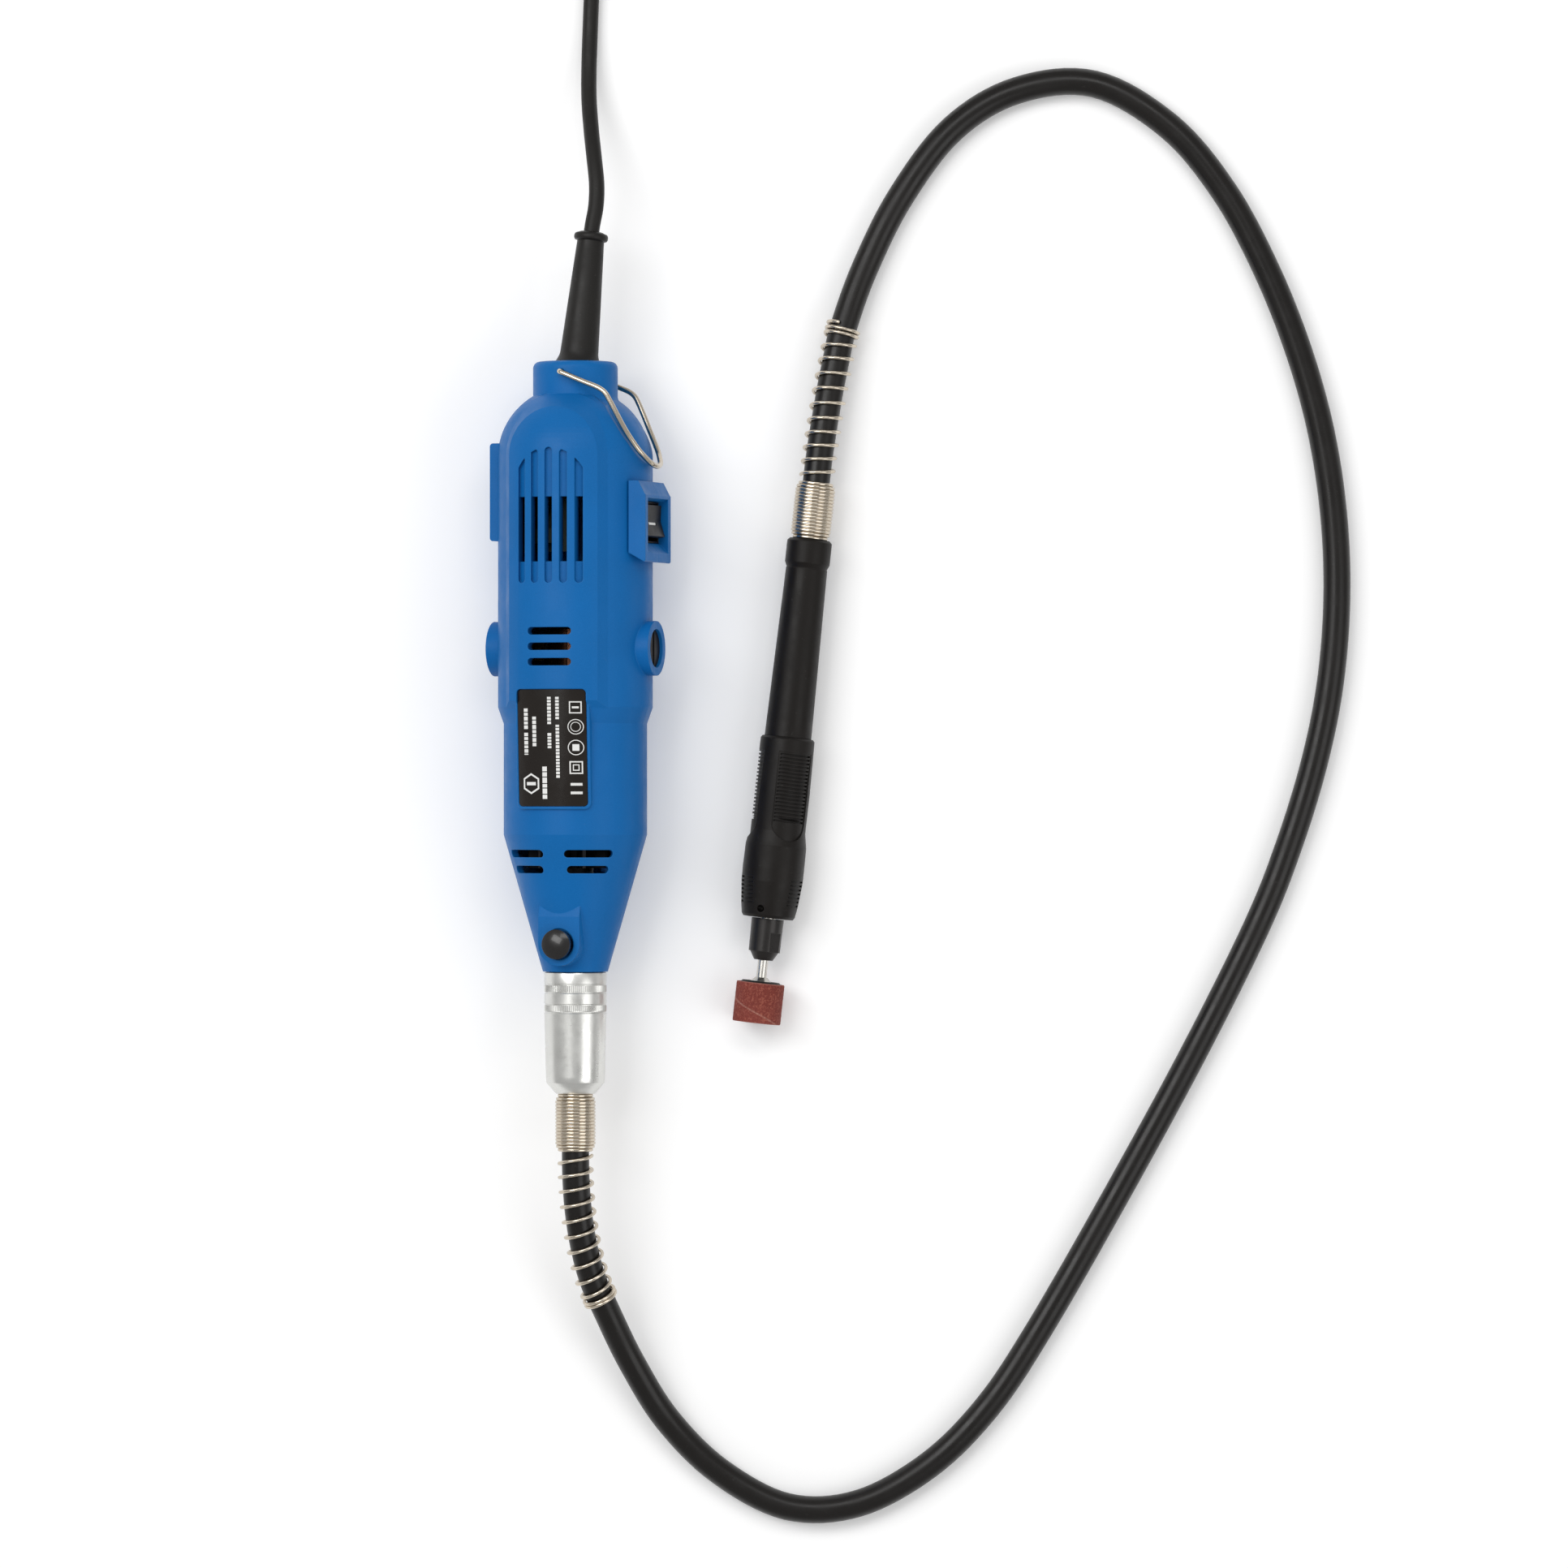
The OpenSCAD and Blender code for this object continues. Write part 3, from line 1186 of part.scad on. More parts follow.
module mandrel_screw() {
  color("#a9acae") place_hand() difference() {
    union() {
      translate([0, 0, band_t + 4]) cylinder(r = 1.3, h = band_len - 5.9);
      translate([0, 0, band_t + band_len - 2]) cylinder(r = 3, h = 1.3);
    }
    translate([0, 0, band_t + band_len - 0.7]) cube([7, 0.8, 1.4], center = true);
  }
}
module drum_rubber() {
  color("#26221f") place_hand() translate([0, 0, band_t]) difference() {
    rotate_extrude() polygon([[0, -rubber_rise], [rubber_r - 0.8, -rubber_rise],
      [rubber_r, 0.3], [rubber_r, band_len - 0.4], [0, band_len - 0.4]]);
    translate([0, 0, -1]) cylinder(r = 1.3 + seat, h = band_len + 3);
    translate([0, 0, band_len - 2]) cylinder(r = 3 + loose, h = 4);
  }
}
module sanding_band() {
  color("#8c3c30") place_hand() translate([0, 0, band_t]) difference() {
    cylinder(r = band_r, h = band_len);
    translate([0, 0, -1]) cylinder(r = rubber_r + seat, h = band_len + 2);
  }
}

housing_front();
housing_rear();
housing_screws();
rating_label();
cord_sleeve();
cord_clamp();
clamp_screws();
mains_cord();
cord_coil();
cord_tail();
cord_tie();
plug_body();
plug_pins();
hanging_bail();
switch_body();
switch_rocker();
speed_dial();
speed_board();
stator_core();
field_windings();
armature_core();
armature_windings();
motor_shaft();
commutator();
cooling_fan();
rear_bearing();
front_bearing();
brush_holders();
carbon_brushes();
brush_springs();
brush_caps();
tool_collet();
collet_nut();
drive_adapter();
lock_button();
lock_spring();
coupling_nut();
tool_ferrule();
tool_spring();
flex_sheath();
flex_core();
hand_spring();
hand_ferrule();
hand_tube();
hand_grip();
hand_rear_bearing();
hand_front_bearing();
hand_spindle();
hand_collet();
chuck_nut();
mandrel();
mandrel_screw();
drum_rubber();
sanding_band();
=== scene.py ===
import bpy, bmesh, math, random
from mathutils import Matrix, Vector


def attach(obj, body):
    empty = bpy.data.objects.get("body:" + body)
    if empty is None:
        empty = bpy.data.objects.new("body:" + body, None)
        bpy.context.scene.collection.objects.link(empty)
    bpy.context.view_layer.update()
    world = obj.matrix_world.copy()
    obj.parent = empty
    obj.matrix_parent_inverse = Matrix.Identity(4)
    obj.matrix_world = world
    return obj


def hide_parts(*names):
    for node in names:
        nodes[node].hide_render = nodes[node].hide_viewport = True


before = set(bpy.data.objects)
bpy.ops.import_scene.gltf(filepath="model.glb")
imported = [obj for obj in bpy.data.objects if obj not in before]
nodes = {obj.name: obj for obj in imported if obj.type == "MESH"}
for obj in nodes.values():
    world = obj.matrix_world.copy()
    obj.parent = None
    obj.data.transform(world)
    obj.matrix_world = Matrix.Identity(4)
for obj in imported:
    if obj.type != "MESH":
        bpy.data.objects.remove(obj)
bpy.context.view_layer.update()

MM = 0.001
scene = bpy.context.scene

# ---- Camera: straight down, 483 mm across at the tool's height ----

VIEW_W = 0.483
VIEW_AT = Vector((0.034, -0.0035, 0.015))
DISTANCE = 2.6
cam_data = bpy.data.cameras.new("camera")
cam_data.type = "PERSP"
cam_data.sensor_width = 36.0
cam_data.lens = 36.0 * DISTANCE / VIEW_W
cam_data.clip_start = 0.05
cam_data.clip_end = 20.0
cam = bpy.data.objects.new("camera", cam_data)
cam.location = VIEW_AT + Vector((0, 0, DISTANCE))
cam.rotation_euler = (0, 0, 0)
scene.collection.objects.link(cam)
scene.camera = cam

# ---- Places, as in the CAD source ----

ROLL = 18.0
TOOL = Matrix.Translation((-0.030, 0.126, 0.025)) @ Matrix.Rotation(math.radians(-ROLL), 4, "Y") \
    @ Matrix.Rotation(math.radians(90), 4, "X") @ Matrix.Scale(MM, 4)
HAND = Matrix.Translation((0.042, 0.072, 0.0095)) @ Matrix.Rotation(math.radians(-6.33), 4, "Z") \
    @ Matrix.Rotation(math.radians(90), 4, "X") @ Matrix.Scale(MM, 4)
WORLD = Matrix.Scale(MM, 4)

# ---- Routes, in millimetres ----

CORD_R, SHEATH_R, TOOL_Z, HAND_Z = 2.4, 4.2, 25.0, 9.5
NECK = (-30.0, 126.0)
COIL = Vector((9.0, 290.0))


def spline(points, per=8):
    pts = [Vector(p) for p in points]
    out = []
    last = len(pts) - 1
    for i in range(last):
        p, q, r, s = pts[max(i - 1, 0)], pts[i], pts[i + 1], pts[min(i + 2, last)]
        for k in range(per):
            t = k / per
            out.append(0.5 * (2 * q + (r - p) * t + (2 * p - 5 * q + 4 * r - s) * t * t
                              + (3 * q - p - 3 * r + s) * t ** 3))
    out.append(pts[-1])
    return out


def heights(points, r, top):
    z = r + 0.1
    return [(x, y, z + h * (top - z)) for x, y, h in points]


flex_points = heights(
    [(-30, -100, 1), (-30, -116, 1), (-29.8, -126, 0.98), (-29, -136, 0.92), (-27.4, -146, 0.82),
     (-24.8, -156, 0.69), (-21, -165, 0.54), (-13, -182, 0.29), (-2, -200, 0.09), (14, -216, 0.01)],
    SHEATH_R, TOOL_Z)
flex_points += heights(
    [(x, y, 0) for x, y in
     [(35, -227), (57, -226), (79, -214), (97, -196), (113, -172), (136, -132), (160, -88),
      (180, -48), (190, -23), (198, 3), (203, 28), (205, 54), (204, 80), (200, 106), (193, 131),
      (183, 156), (170, 180), (153, 200), (130, 213), (106, 211), (86, 199), (70, 178)]],
    SHEATH_R, TOOL_Z)
flex_points += heights(
    [(59, 156, 0.1), (52.5, 138, 0.37), (50.2, 128, 0.53), (48.2, 118, 0.71), (46.5, 108, 0.87),
     (45.1, 99, 0.97), (44, 90, 1), (42.9, 80, 1)], SHEATH_R, HAND_Z)

cord_points = heights(
    [(NECK[0] + x, NECK[1] + y, h) for x, y, h in
     [(0, -20, 1), (0, -9, 1), (2, 11, 0.95), (4, 31, 0.9), (5, 41, 0.875), (6.2, 48, 0.85),
      (6.4, 55, 0.79), (5.6, 63, 0.67), (4.6, 72, 0.48), (3.8, 82, 0.27), (3.7, 92, 0.11),
      (4, 103, 0.02), (4.4, 114, 0), (4.8, 127, 0), (5, 140, 0)]], CORD_R, TOOL_Z)
tail_points = [(COIL.x + x, COIL.y + y, z) for x, y, z in
               [(24, 32.5, 7.6), (33, 30, 5.4), (43, 25.5, 5.2), (53, 21.5, 6.5), (62, 20, 6.9),
                (70, 20, 6.9)]]

# ---- Meshes ----


def new_object(name, mesh, body="tool", replaces=(), slot=None):
    obj = bpy.data.objects.new(name, mesh)
    scene.collection.objects.link(obj)
    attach(obj, body)
    if replaces:
        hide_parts(*replaces)
    return obj


def smooth(obj, angle=35):
    for p in obj.data.polygons:
        p.use_smooth = True
    obj.data.update()
    bpy.context.view_layer.objects.active = obj
    m = obj.modifiers.new("split", "EDGE_SPLIT")
    m.split_angle = math.radians(angle)
    return obj


def add_mesh(name, bm, shade=35, **k):
    bmesh.ops.recalc_face_normals(bm, faces=bm.faces)
    mesh = bpy.data.meshes.new(name)
    bm.to_mesh(mesh)
    bm.free()
    return smooth(new_object(name, mesh, **k), shade)


def lathe(name, profile, place, seg=96, shade=35, shape=None, **k):
    """A closed ring of (radius, height) points turned about the local Z axis. shape(r, angle, z)
    gives the radius of a point where the surface isn't plain."""
    bm = bmesh.new()
    rows = []
    for r, z in profile:
        row = []
        for i in range(seg):
            a = 2 * math.pi * i / seg
            rr = shape(r, i, a, z) if shape else r
            row.append(bm.verts.new(place @ Vector((rr * math.cos(a), rr * math.sin(a), z))))
        rows.append(row)
    for a, b in zip(rows, rows[1:] + rows[:1]):
        for i in range(seg):
            j = (i + 1) % seg
            bm.faces.new((a[i], a[j], b[j], b[i]))
    return add_mesh(name, bm, shade, **k)


def tube(name, points, radius, sides=24, **k):
    """A closed round tube along points in millimetres, with rounded rims at its ends."""
    pts = [Vector(p) for p in points]
    dirs = [(b - a).normalized() for a, b in zip(pts, pts[1:])]
    dirs = [dirs[0]] + [(a + b).normalized() for a, b in zip(dirs, dirs[1:])] + [dirs[-1]]
    side = dirs[0].cross(Vector((0, 0, 1)))
    if side.length < 0.1:
        side = dirs[0].cross(Vector((0, 1, 0)))
    bm = bmesh.new()
    rings = []

    def ring(at, way, side, r):
        up = side.cross(way)
        rings.append([bm.verts.new((at + r * (math.cos(2 * math.pi * i / sides) * side
                                              + math.sin(2 * math.pi * i / sides) * up)) * MM)
                      for i in range(sides)])

    rim = radius * 0.18
    for n, (at, way) in enumerate(zip(pts, dirs)):
        side = (side - side.dot(way) * way).normalized()
        if n == 0:
            ring(at, way, side, radius - rim)
            ring(at + rim * way, way, side, radius)
        elif n == len(pts) - 1:
            ring(at - rim * way, way, side, radius)
            ring(at, way, side, radius - rim)
        else:
            ring(at, way, side, radius)
    for p, q in zip(rings, rings[1:]):
        for i in range(sides):
            j = (i + 1) % sides
            bm.faces.new((p[i], p[j], q[j], q[i]))
    bm.faces.new(rings[0][::-1])
    bm.faces.new(rings[-1])
    return add_mesh(name, bm, 50, **k)


# ---- Materials ----


def tex_coord(nt):
    return nt.nodes.new("ShaderNodeTexCoord").outputs["Object"]


def noise(nt, vec, size_mm, detail=3.0, stretch=(1, 1, 1), rough=0.5):
    mp = nt.nodes.new("ShaderNodeMapping")
    s = 1000.0 / size_mm
    mp.inputs["Scale"].default_value = tuple(s * k for k in stretch)
    nt.links.new(vec, mp.inputs["Vector"])
    n = nt.nodes.new("ShaderNodeTexNoise")
    n.inputs["Scale"].default_value = 1.0
    n.inputs["Detail"].default_value = detail
    n.inputs["Roughness"].default_value = rough
    nt.links.new(mp.outputs["Vector"], n.inputs["Vector"])
    return n.outputs["Fac"]


def ranged(nt, fac, lo, hi, a=0.3, b=0.7):
    m = nt.nodes.new("ShaderNodeMapRange")
    m.inputs["From Min"].default_value = a
    m.inputs["From Max"].default_value = b
    m.inputs["To Min"].default_value = lo
    m.inputs["To Max"].default_value = hi
    nt.links.new(fac, m.inputs["Value"])
    return m.outputs["Result"]


def mixed(nt, fac, a, b):
    m = nt.nodes.new("ShaderNodeMix")
    m.data_type = "RGBA"
    for sock, v in ((m.inputs[6], a), (m.inputs[7], b)):
        if isinstance(v, tuple):
            sock.default_value = (*v, 1)
        else:
            nt.links.new(v, sock)
    if isinstance(fac, float):
        m.inputs[0].default_value = fac
    else:
        nt.links.new(fac, m.inputs[0])
    return m.outputs[2]


def bump(nt, heights_, distance, strength=1.0):
    b = nt.nodes.new("ShaderNodeBump")
    b.inputs["Strength"].default_value = strength
    b.inputs["Distance"].default_value = distance * MM
    nt.links.new(heights_, b.inputs["Height"])
    return b


def material(name, colour, rough, metallic=0.0, specular=0.5, coat=0.0, vary=0.12, dust=0.0,
             grain=0.35, grain_mm=0.25, deep=0.02, wear=0.25, rough_vary=0.10, lines=None,
             wear_colour=None, edge=0.0):
    """A noise-driven finish: broad and fine colour change, worn edges, dust, smears and grain."""
    mat = bpy.data.materials.new(name)
    mat.use_nodes = True
    nt = mat.node_tree
    bsdf = nt.nodes["Principled BSDF"]
    vec = tex_coord(nt)
    dark = tuple(c * (1 - vary) for c in colour)
    light = tuple(min(1, c * (1 + vary)) for c in colour)
    broad = noise(nt, vec, 22, 4)
    fine = noise(nt, vec, grain_mm, 3)
    col = mixed(nt, ranged(nt, broad, 0, 1), dark, light)
    col = mixed(nt, ranged(nt, fine, 0, 0.35), col, tuple(min(1, c * 1.25 + 0.004) for c in colour))
    rounded = None
    if edge:
        rounded = nt.nodes.new("ShaderNodeBevel")
        rounded.samples = 6
        rounded.inputs["Radius"].default_value = edge * MM
    if wear:
        geo = nt.nodes.new("ShaderNodeNewGeometry")
        if rounded:
            flat = nt.nodes.new("ShaderNodeVectorMath")
            flat.operation = "DOT_PRODUCT"
            nt.links.new(rounded.outputs["Normal"], flat.inputs[0])
            nt.links.new(geo.outputs["Normal"], flat.inputs[1])
            rubbed = ranged(nt, flat.outputs["Value"], wear, 0, 0.88, 0.985)
        else:
            rubbed = ranged(nt, geo.outputs["Pointiness"], 0, wear, 0.53, 0.62)
        worn = wear_colour or tuple(min(1, c * 1.5 + 0.02) for c in colour)
        col = mixed(nt, rubbed, col, worn)
    if dust:
        speck = noise(nt, vec, 1.6, 6, rough=0.75)
        col = mixed(nt, ranged(nt, speck, 0, dust, 0.62, 0.74), col, (0.5, 0.49, 0.47))
    nt.links.new(col, bsdf.inputs["Base Color"])
    smear = noise(nt, vec, 9, 5, rough=0.65)
    nt.links.new(ranged(nt, smear, rough - rough_vary, rough + rough_vary), bsdf.inputs["Roughness"])
    bsdf.inputs["Metallic"].default_value = metallic
    bsdf.inputs["Specular IOR Level"].default_value = specular
    bsdf.inputs["Coat Weight"].default_value = coat
    grained = under = bump(nt, fine, deep, grain)
    if lines:
        size, stretch, depth = lines
        under = bump(nt, noise(nt, vec, size, 2, stretch), depth)
        nt.links.new(under.outputs["Normal"], grained.inputs["Normal"])
    if rounded:
        nt.links.new(rounded.outputs["Normal"], under.inputs["Normal"])
    nt.links.new(grained.outputs["Normal"], bsdf.inputs["Normal"])
    return mat


BLUE = (0.003, 0.118, 0.365)
M = {}
M["housing"] = material("housing_blue", BLUE, 0.42, specular=0.14, vary=0.05, grain_mm=0.35,
                        deep=0.02, wear=0.3, dust=0.03, wear_colour=(0.04, 0.24, 0.62), edge=0.45)
M["black"] = material("black_plastic", (0.0075, 0.006, 0.005), 0.42, specular=0.18, grain_mm=0.3,
                      dust=0.05, edge=0.35)
M["gloss_black"] = material("gloss_black", (0.006, 0.005, 0.005), 0.27, specular=0.4, grain=0.1,
                            deep=0.005, rough_vary=0.05, coat=0.3, dust=0.03, edge=0.3)
M["label"] = material("label_black", (0.010, 0.007, 0.005), 0.24, specular=0.3, grain=0.08,
                      deep=0.004, rough_vary=0.06, wear=0.0, dust=0.04)
M["rubber"] = material("cord_rubber", (0.009, 0.008, 0.007), 0.46, specular=0.25, grain_mm=0.4,
                       deep=0.02, dust=0.05)
M["sheath"] = material("sheath_rubber", (0.006, 0.0048, 0.004), 0.32, specular=0.30, grain_mm=0.5,
                       deep=0.03, rough_vary=0.08, dust=0.04)
M["steel"] = material("bright_steel", (0.58, 0.56, 0.52), 0.24, 1.0, vary=0.08, grain=0.15,
                      deep=0.006, wear_colour=(0.85, 0.83, 0.78))
M["nickel"] = material("nickel", (0.54, 0.475, 0.385), 0.19, 1.0, vary=0.10, grain=0.2, deep=0.006,
                       wear_colour=(0.9, 0.86, 0.78))
M["aluminium"] = material("satin_aluminium", (0.66, 0.66, 0.635), 0.32, 1.0, vary=0.05, grain=0.3,
                          deep=0.008, lines=(0.5, (1, 0.02, 1), 0.008), wear=0.0)
M["copper"] = material("enamelled_copper", (0.16, 0.045, 0.018), 0.35, 0.6, vary=0.2,
                       lines=(0.6, (1, 1, 0.05), 0.03))
M["bar_copper"] = material("bar_copper", (0.13, 0.055, 0.03), 0.38, 0.9, vary=0.15)
M["brass"] = material("brass", (0.20, 0.14, 0.06), 0.40, 0.9, vary=0.1)
M["iron"] = material("laminations", (0.055, 0.055, 0.06), 0.50, 0.7, vary=0.2,
                     lines=(0.7, (0.02, 1, 0.02), 0.05))
M["carbon"] = material("carbon", (0.02, 0.02, 0.021), 0.55)
M["cream"] = material("cream_plastic", (0.62, 0.60, 0.52), 0.45, specular=0.4)
M["fan"] = material("fan_plastic", (0.030, 0.029, 0.028), 0.5, specular=0.25)
M["board"] = material("circuit_board", (0.006, 0.022, 0.012), 0.45, vary=0.2)
M["black_metal"] = material("black_oxide", (0.020, 0.018, 0.017), 0.34, 0.5, vary=0.2, dust=0.05,
                            wear_colour=(0.10, 0.09, 0.08), edge=0.25)
M["white"] = material("print_white", (0.74, 0.74, 0.72), 0.40, wear=0.0, vary=0.08, grain=0.1,
                      deep=0.003)


def grit_material():
    """Red-brown grains with darker and lighter ones among them, and a paler taped seam."""
    mat = material("grit", (0.190, 0.036, 0.026), 0.82, specular=0.3, vary=0.2, grain=1.0,
                   grain_mm=0.28, deep=0.10, wear=0.0)
    nt = mat.node_tree
    bsdf = nt.nodes["Principled BSDF"]
    base = bsdf.inputs["Base Color"].links[0].from_socket
    vec = tex_coord(nt)
    cells = nt.nodes.new("ShaderNodeTexVoronoi")
    cells.inputs["Scale"].default_value = 2600
    nt.links.new(vec, cells.inputs["Vector"])
    grains = mixed(nt, ranged(nt, cells.outputs["Color"], 0, 0.75, 0.55, 0.95), base,
                   (0.40, 0.125, 0.085))
    grains = mixed(nt, ranged(nt, cells.outputs["Distance"], 0.55, 0, 0.05, 0.45), grains,
                   (0.07, 0.010, 0.008))
    seam = nt.nodes.new("ShaderNodeAttribute")
    seam.attribute_name = "seam"
    worn = nt.nodes.new("ShaderNodeAttribute")
    worn.attribute_name = "worn"
    col = mixed(nt, ranged(nt, seam.outputs["Fac"], 0, 0.75, 0.1, 0.9), grains, (0.50, 0.27, 0.21))
    col = mixed(nt, ranged(nt, worn.outputs["Fac"], 0, 0.6, 0.2, 1.0), col, (0.42, 0.20, 0.16))
    nt.links.new(col, bsdf.inputs["Base Color"])
    return mat


M["grit"] = grit_material()
finish = {
    "housing": ["housing_front", "housing_rear"],
    "label": ["rating_label"],
    "rubber": ["cord_sleeve", "mains_cord", "cord_coil", "cord_tail", "drum_rubber"],
    "sheath": ["flex_sheath"],
    "black": ["cord_tie", "plug_body", "switch_body", "speed_dial", "brush_caps", "hand_tube",
              "hand_grip", "switch_rocker"],
    "gloss_black": ["lock_button"],
    "steel": ["housing_screws", "clamp_screws", "motor_shaft", "rear_bearing", "front_bearing",
              "brush_springs", "tool_collet", "collet_nut", "drive_adapter", "lock_spring",
              "flex_core", "hand_rear_bearing", "hand_front_bearing", "hand_spindle",
              "hand_collet", "mandrel", "mandrel_screw"],
    "nickel": ["plug_pins", "hanging_bail", "tool_ferrule", "tool_spring", "hand_spring",
               "hand_ferrule"],
    "aluminium": ["coupling_nut"],
    "copper": ["field_windings", "armature_windings"],
    "bar_copper": ["commutator"],
    "brass": ["brush_holders"],
    "iron": ["stator_core", "armature_core"],
    "carbon": ["carbon_brushes"],
    "cream": ["cord_clamp"],
    "fan": ["cooling_fan"],
    "board": ["speed_board"],
    "black_metal": ["chuck_nut"],
    "grit": ["sanding_band"],
}


def dress(obj, mat):
    obj.data.materials.clear()
    obj.data.materials.append(mat)


for key, names in finish.items():
    for n in names:
        o = nodes[n]
        for s in o.material_slots:
            s.link = "OBJECT"
            s.material = M[key]

# ---- Cords ----


flex_line = spline(flex_points, 8)
sheath = tube("flex_sheath_tube", flex_line, SHEATH_R, 32, replaces=["flex_sheath"],
              slot="flex_sheath")
dress(sheath, M["sheath"])


# The stored turns lie four, three and two wide on each other. Each row is a radius for each turn.
ROW = 2 * CORD_R * math.sin(math.radians(60))
TURNS = [(r, 0.9 + CORD_R) for r in (34.2, 29.4, 24.6, 19.8)] \
    + [(r, 0.9 + CORD_R + ROW) for r in (22.2, 27.0, 31.8)] \
    + [(r, 0.9 + CORD_R + 2 * ROW) for r in (29.4, 34.2)]
COIL_START, COIL_END = 180.0, 72.0
PER_TURN = 40


def eased(t):
    t = max(0.0, min(1.0, t))
    return t * t * (3 - 2 * t)


def on_coil(r, degrees, z):
    a = math.radians(degrees)
    return Vector((COIL.x + r * math.cos(a), COIL.y + r * math.sin(a), z))


def coil_line():
    out = []
    for (r, z), (nr, nz) in zip(TURNS, TURNS[1:] + TURNS[-1:]):
        for k in range(PER_TURN):
            f = k / PER_TURN
            g = eased((f - 0.68) / 0.32)
            out.append(on_coil(r + (nr - r) * g, COIL_START - 360 * f, z + (nz - z) * g))
    # The last part turn runs out to the tail and down
    last_r, last_z = TURNS[-1]
    steps = round(PER_TURN * (COIL_START - COIL_END) / 360)
    for k in range(steps + 1):
        f = k / steps
        out.append(on_coil(last_r + 0.9 * eased(f), COIL_START - (COIL_START - COIL_END) * f,
                           last_z - 2.5 * eased(f)))
    return out


cord_line = spline(cord_points, 8)
full = cord_line + coil_line()[1:]
full = full[:-1] + spline([full[-1]] + tail_points, 8)
mains = tube("mains_cord_line", full, CORD_R, replaces=["mains_cord", "cord_coil", "cord_tail"],
             slot="mains_cord")
dress(mains, M["rubber"])

# ---- Tool sizes, in millimetres, as in the CAD source ----

BODY_R, GRIP_R, NECK_R = 23.75, 22.0, 13.0
COUPLING_S, COUPLING_END, FERRULE_R, FERRULE_LEN = 187.2, 224.5, 6.2, 17.75
COUPLING_R = 9.6
KNURL_STARTS, KNURL_LEN, KNURL_DEPTH = (3.7, 9.8), 2.3, 0.08
SPRING_R, SPRING_WIRE = 5.05, 1.1
BOX_S, ROCKER_X, ROCKER_TURN = 49.4, 21.55, 7.0
LABEL_S, LABEL_HALF, LABEL_T = 118.5, 19.75, 0.30
LABEL_TOP_R, LABEL_LOW_R = BODY_R + 0.5, GRIP_R + 0.45
BAND_R, BAND_IN_R, BAND_LEN, BAND_T = 7.5, 6.53, 12.4, 137.7
SEAM_HALF = 0.45
BAIL_WIRE_R = 0.85

# ---- Cord sleeve ----

sleeve_points = [Vector(p) for p in cord_points]
sleeve_way = (sleeve_points[3] - sleeve_points[1]).normalized()
SLEEVE = WORLD @ Matrix.Translation(sleeve_points[1]) \
    @ sleeve_way.to_track_quat("Z", "Y").to_matrix().to_4x4()


def sleeve_outline():
    flare = [(5.85 + 1.25 * (1 - t) ** 1.8, 8.6 + 3.6 * t) for t in [k / 8 for k in range(9)]]
    taper = [(5.85 - 1.7 * t, 12.2 + 34.3 * t) for t in [k / 12 for k in range(1, 13)]]
    collar = [(4.7 + 0.55 * math.sin(math.radians(a)), 47.75 - 1.05 * math.cos(math.radians(a)))
              for a in range(0, 181, 18)]
    end = [(4.2, 49.0), (3.5, 49.3), (2.62, 49.35)]
    return [(2.62, 4.0), (5.9, 4.0), (5.9, 8.4)] + flare + taper + collar + end


sleeve = lathe("cord_sleeve_flared", sleeve_outline(), SLEEVE, seg=72, replaces=["cord_sleeve"],
               slot="cord_sleeve")
dress(sleeve, M["rubber"])

# ---- Coupling nut, ferrules and springs ----


def knurled(r, i, a, z):
    for first in KNURL_STARTS:
        if first + 0.3 <= z - COUPLING_S <= first + KNURL_LEN:
            return r + (KNURL_DEPTH if i % 2 else -KNURL_DEPTH)
    return r


def coupling_outline():
    """The nut's section: mouth, two grooves with a knurled band in each, long taper, end cone."""
    r, s0, end = COUPLING_R, COUPLING_S, COUPLING_END
    out = [(7.0, s0 + 0.3), (r - 0.5, s0), (r - 0.12, s0 + 0.15), (r, s0 + 0.5)]
    for first in KNURL_STARTS:
        z = s0 + first
        out += [(r - 0.02, z - 0.2), (r - 0.24, z), (r - 0.24, z + 0.25)]
        out += [(r - 0.14, z + 0.3 + 0.25 * k) for k in range(9)]
        out += [(r - 0.24, z + 2.35), (r - 0.24, z + 2.6), (r - 0.04, z + 2.8)]
    out += [(r - 0.1 - 0.05 * k, s0 + 14 + 2 * k) for k in range(10)]
    return out + [(r - 0.6, end - 3.55), (r - 0.72, end - 3.3), (FERRULE_R + 0.1, end - 0.3),
                  (FERRULE_R - 0.3, end), (FERRULE_R - 0.68, end - 0.1),
                  (FERRULE_R - 0.68, end - 4), (7.1, end - 4.2)]


nut = lathe("coupling_nut_knurled", coupling_outline(), TOOL, seg=200, shade=28, shape=knurled,
            replaces=["coupling_nut"], slot="coupling_nut")
dress(nut, M["aluminium"])

RIB_COUNT = 17


def ferrule_outline(neck_r, neck_len, bore_at):
    """A ribbed sleeve from 0 to its length, with a plain neck on the side of its own piece."""
    pitch = FERRULE_LEN / RIB_COUNT
    out = [(2.6, -neck_len), (neck_r, -neck_len), (neck_r, 0.0)]
    for k in range(RIB_COUNT):
        near_end = min(k, RIB_COUNT - 1 - k)
        r = FERRULE_R - (0.75, 0.22, 0.0)[min(near_end, 2)]
        z = k * pitch
        out += [(r - 0.36, z + 0.04), (r - 0.06, z + 0.15 * pitch), (r - 0.01, z + 0.28 * pitch),
                (r - 0.01, z + 0.70 * pitch), (r - 0.06, z + 0.82 * pitch),
                (r - 0.36, z + pitch - 0.04)]
    return out + [(SHEATH_R + 0.2, FERRULE_LEN), (SHEATH_R + 0.2, bore_at), (2.6, bore_at)]


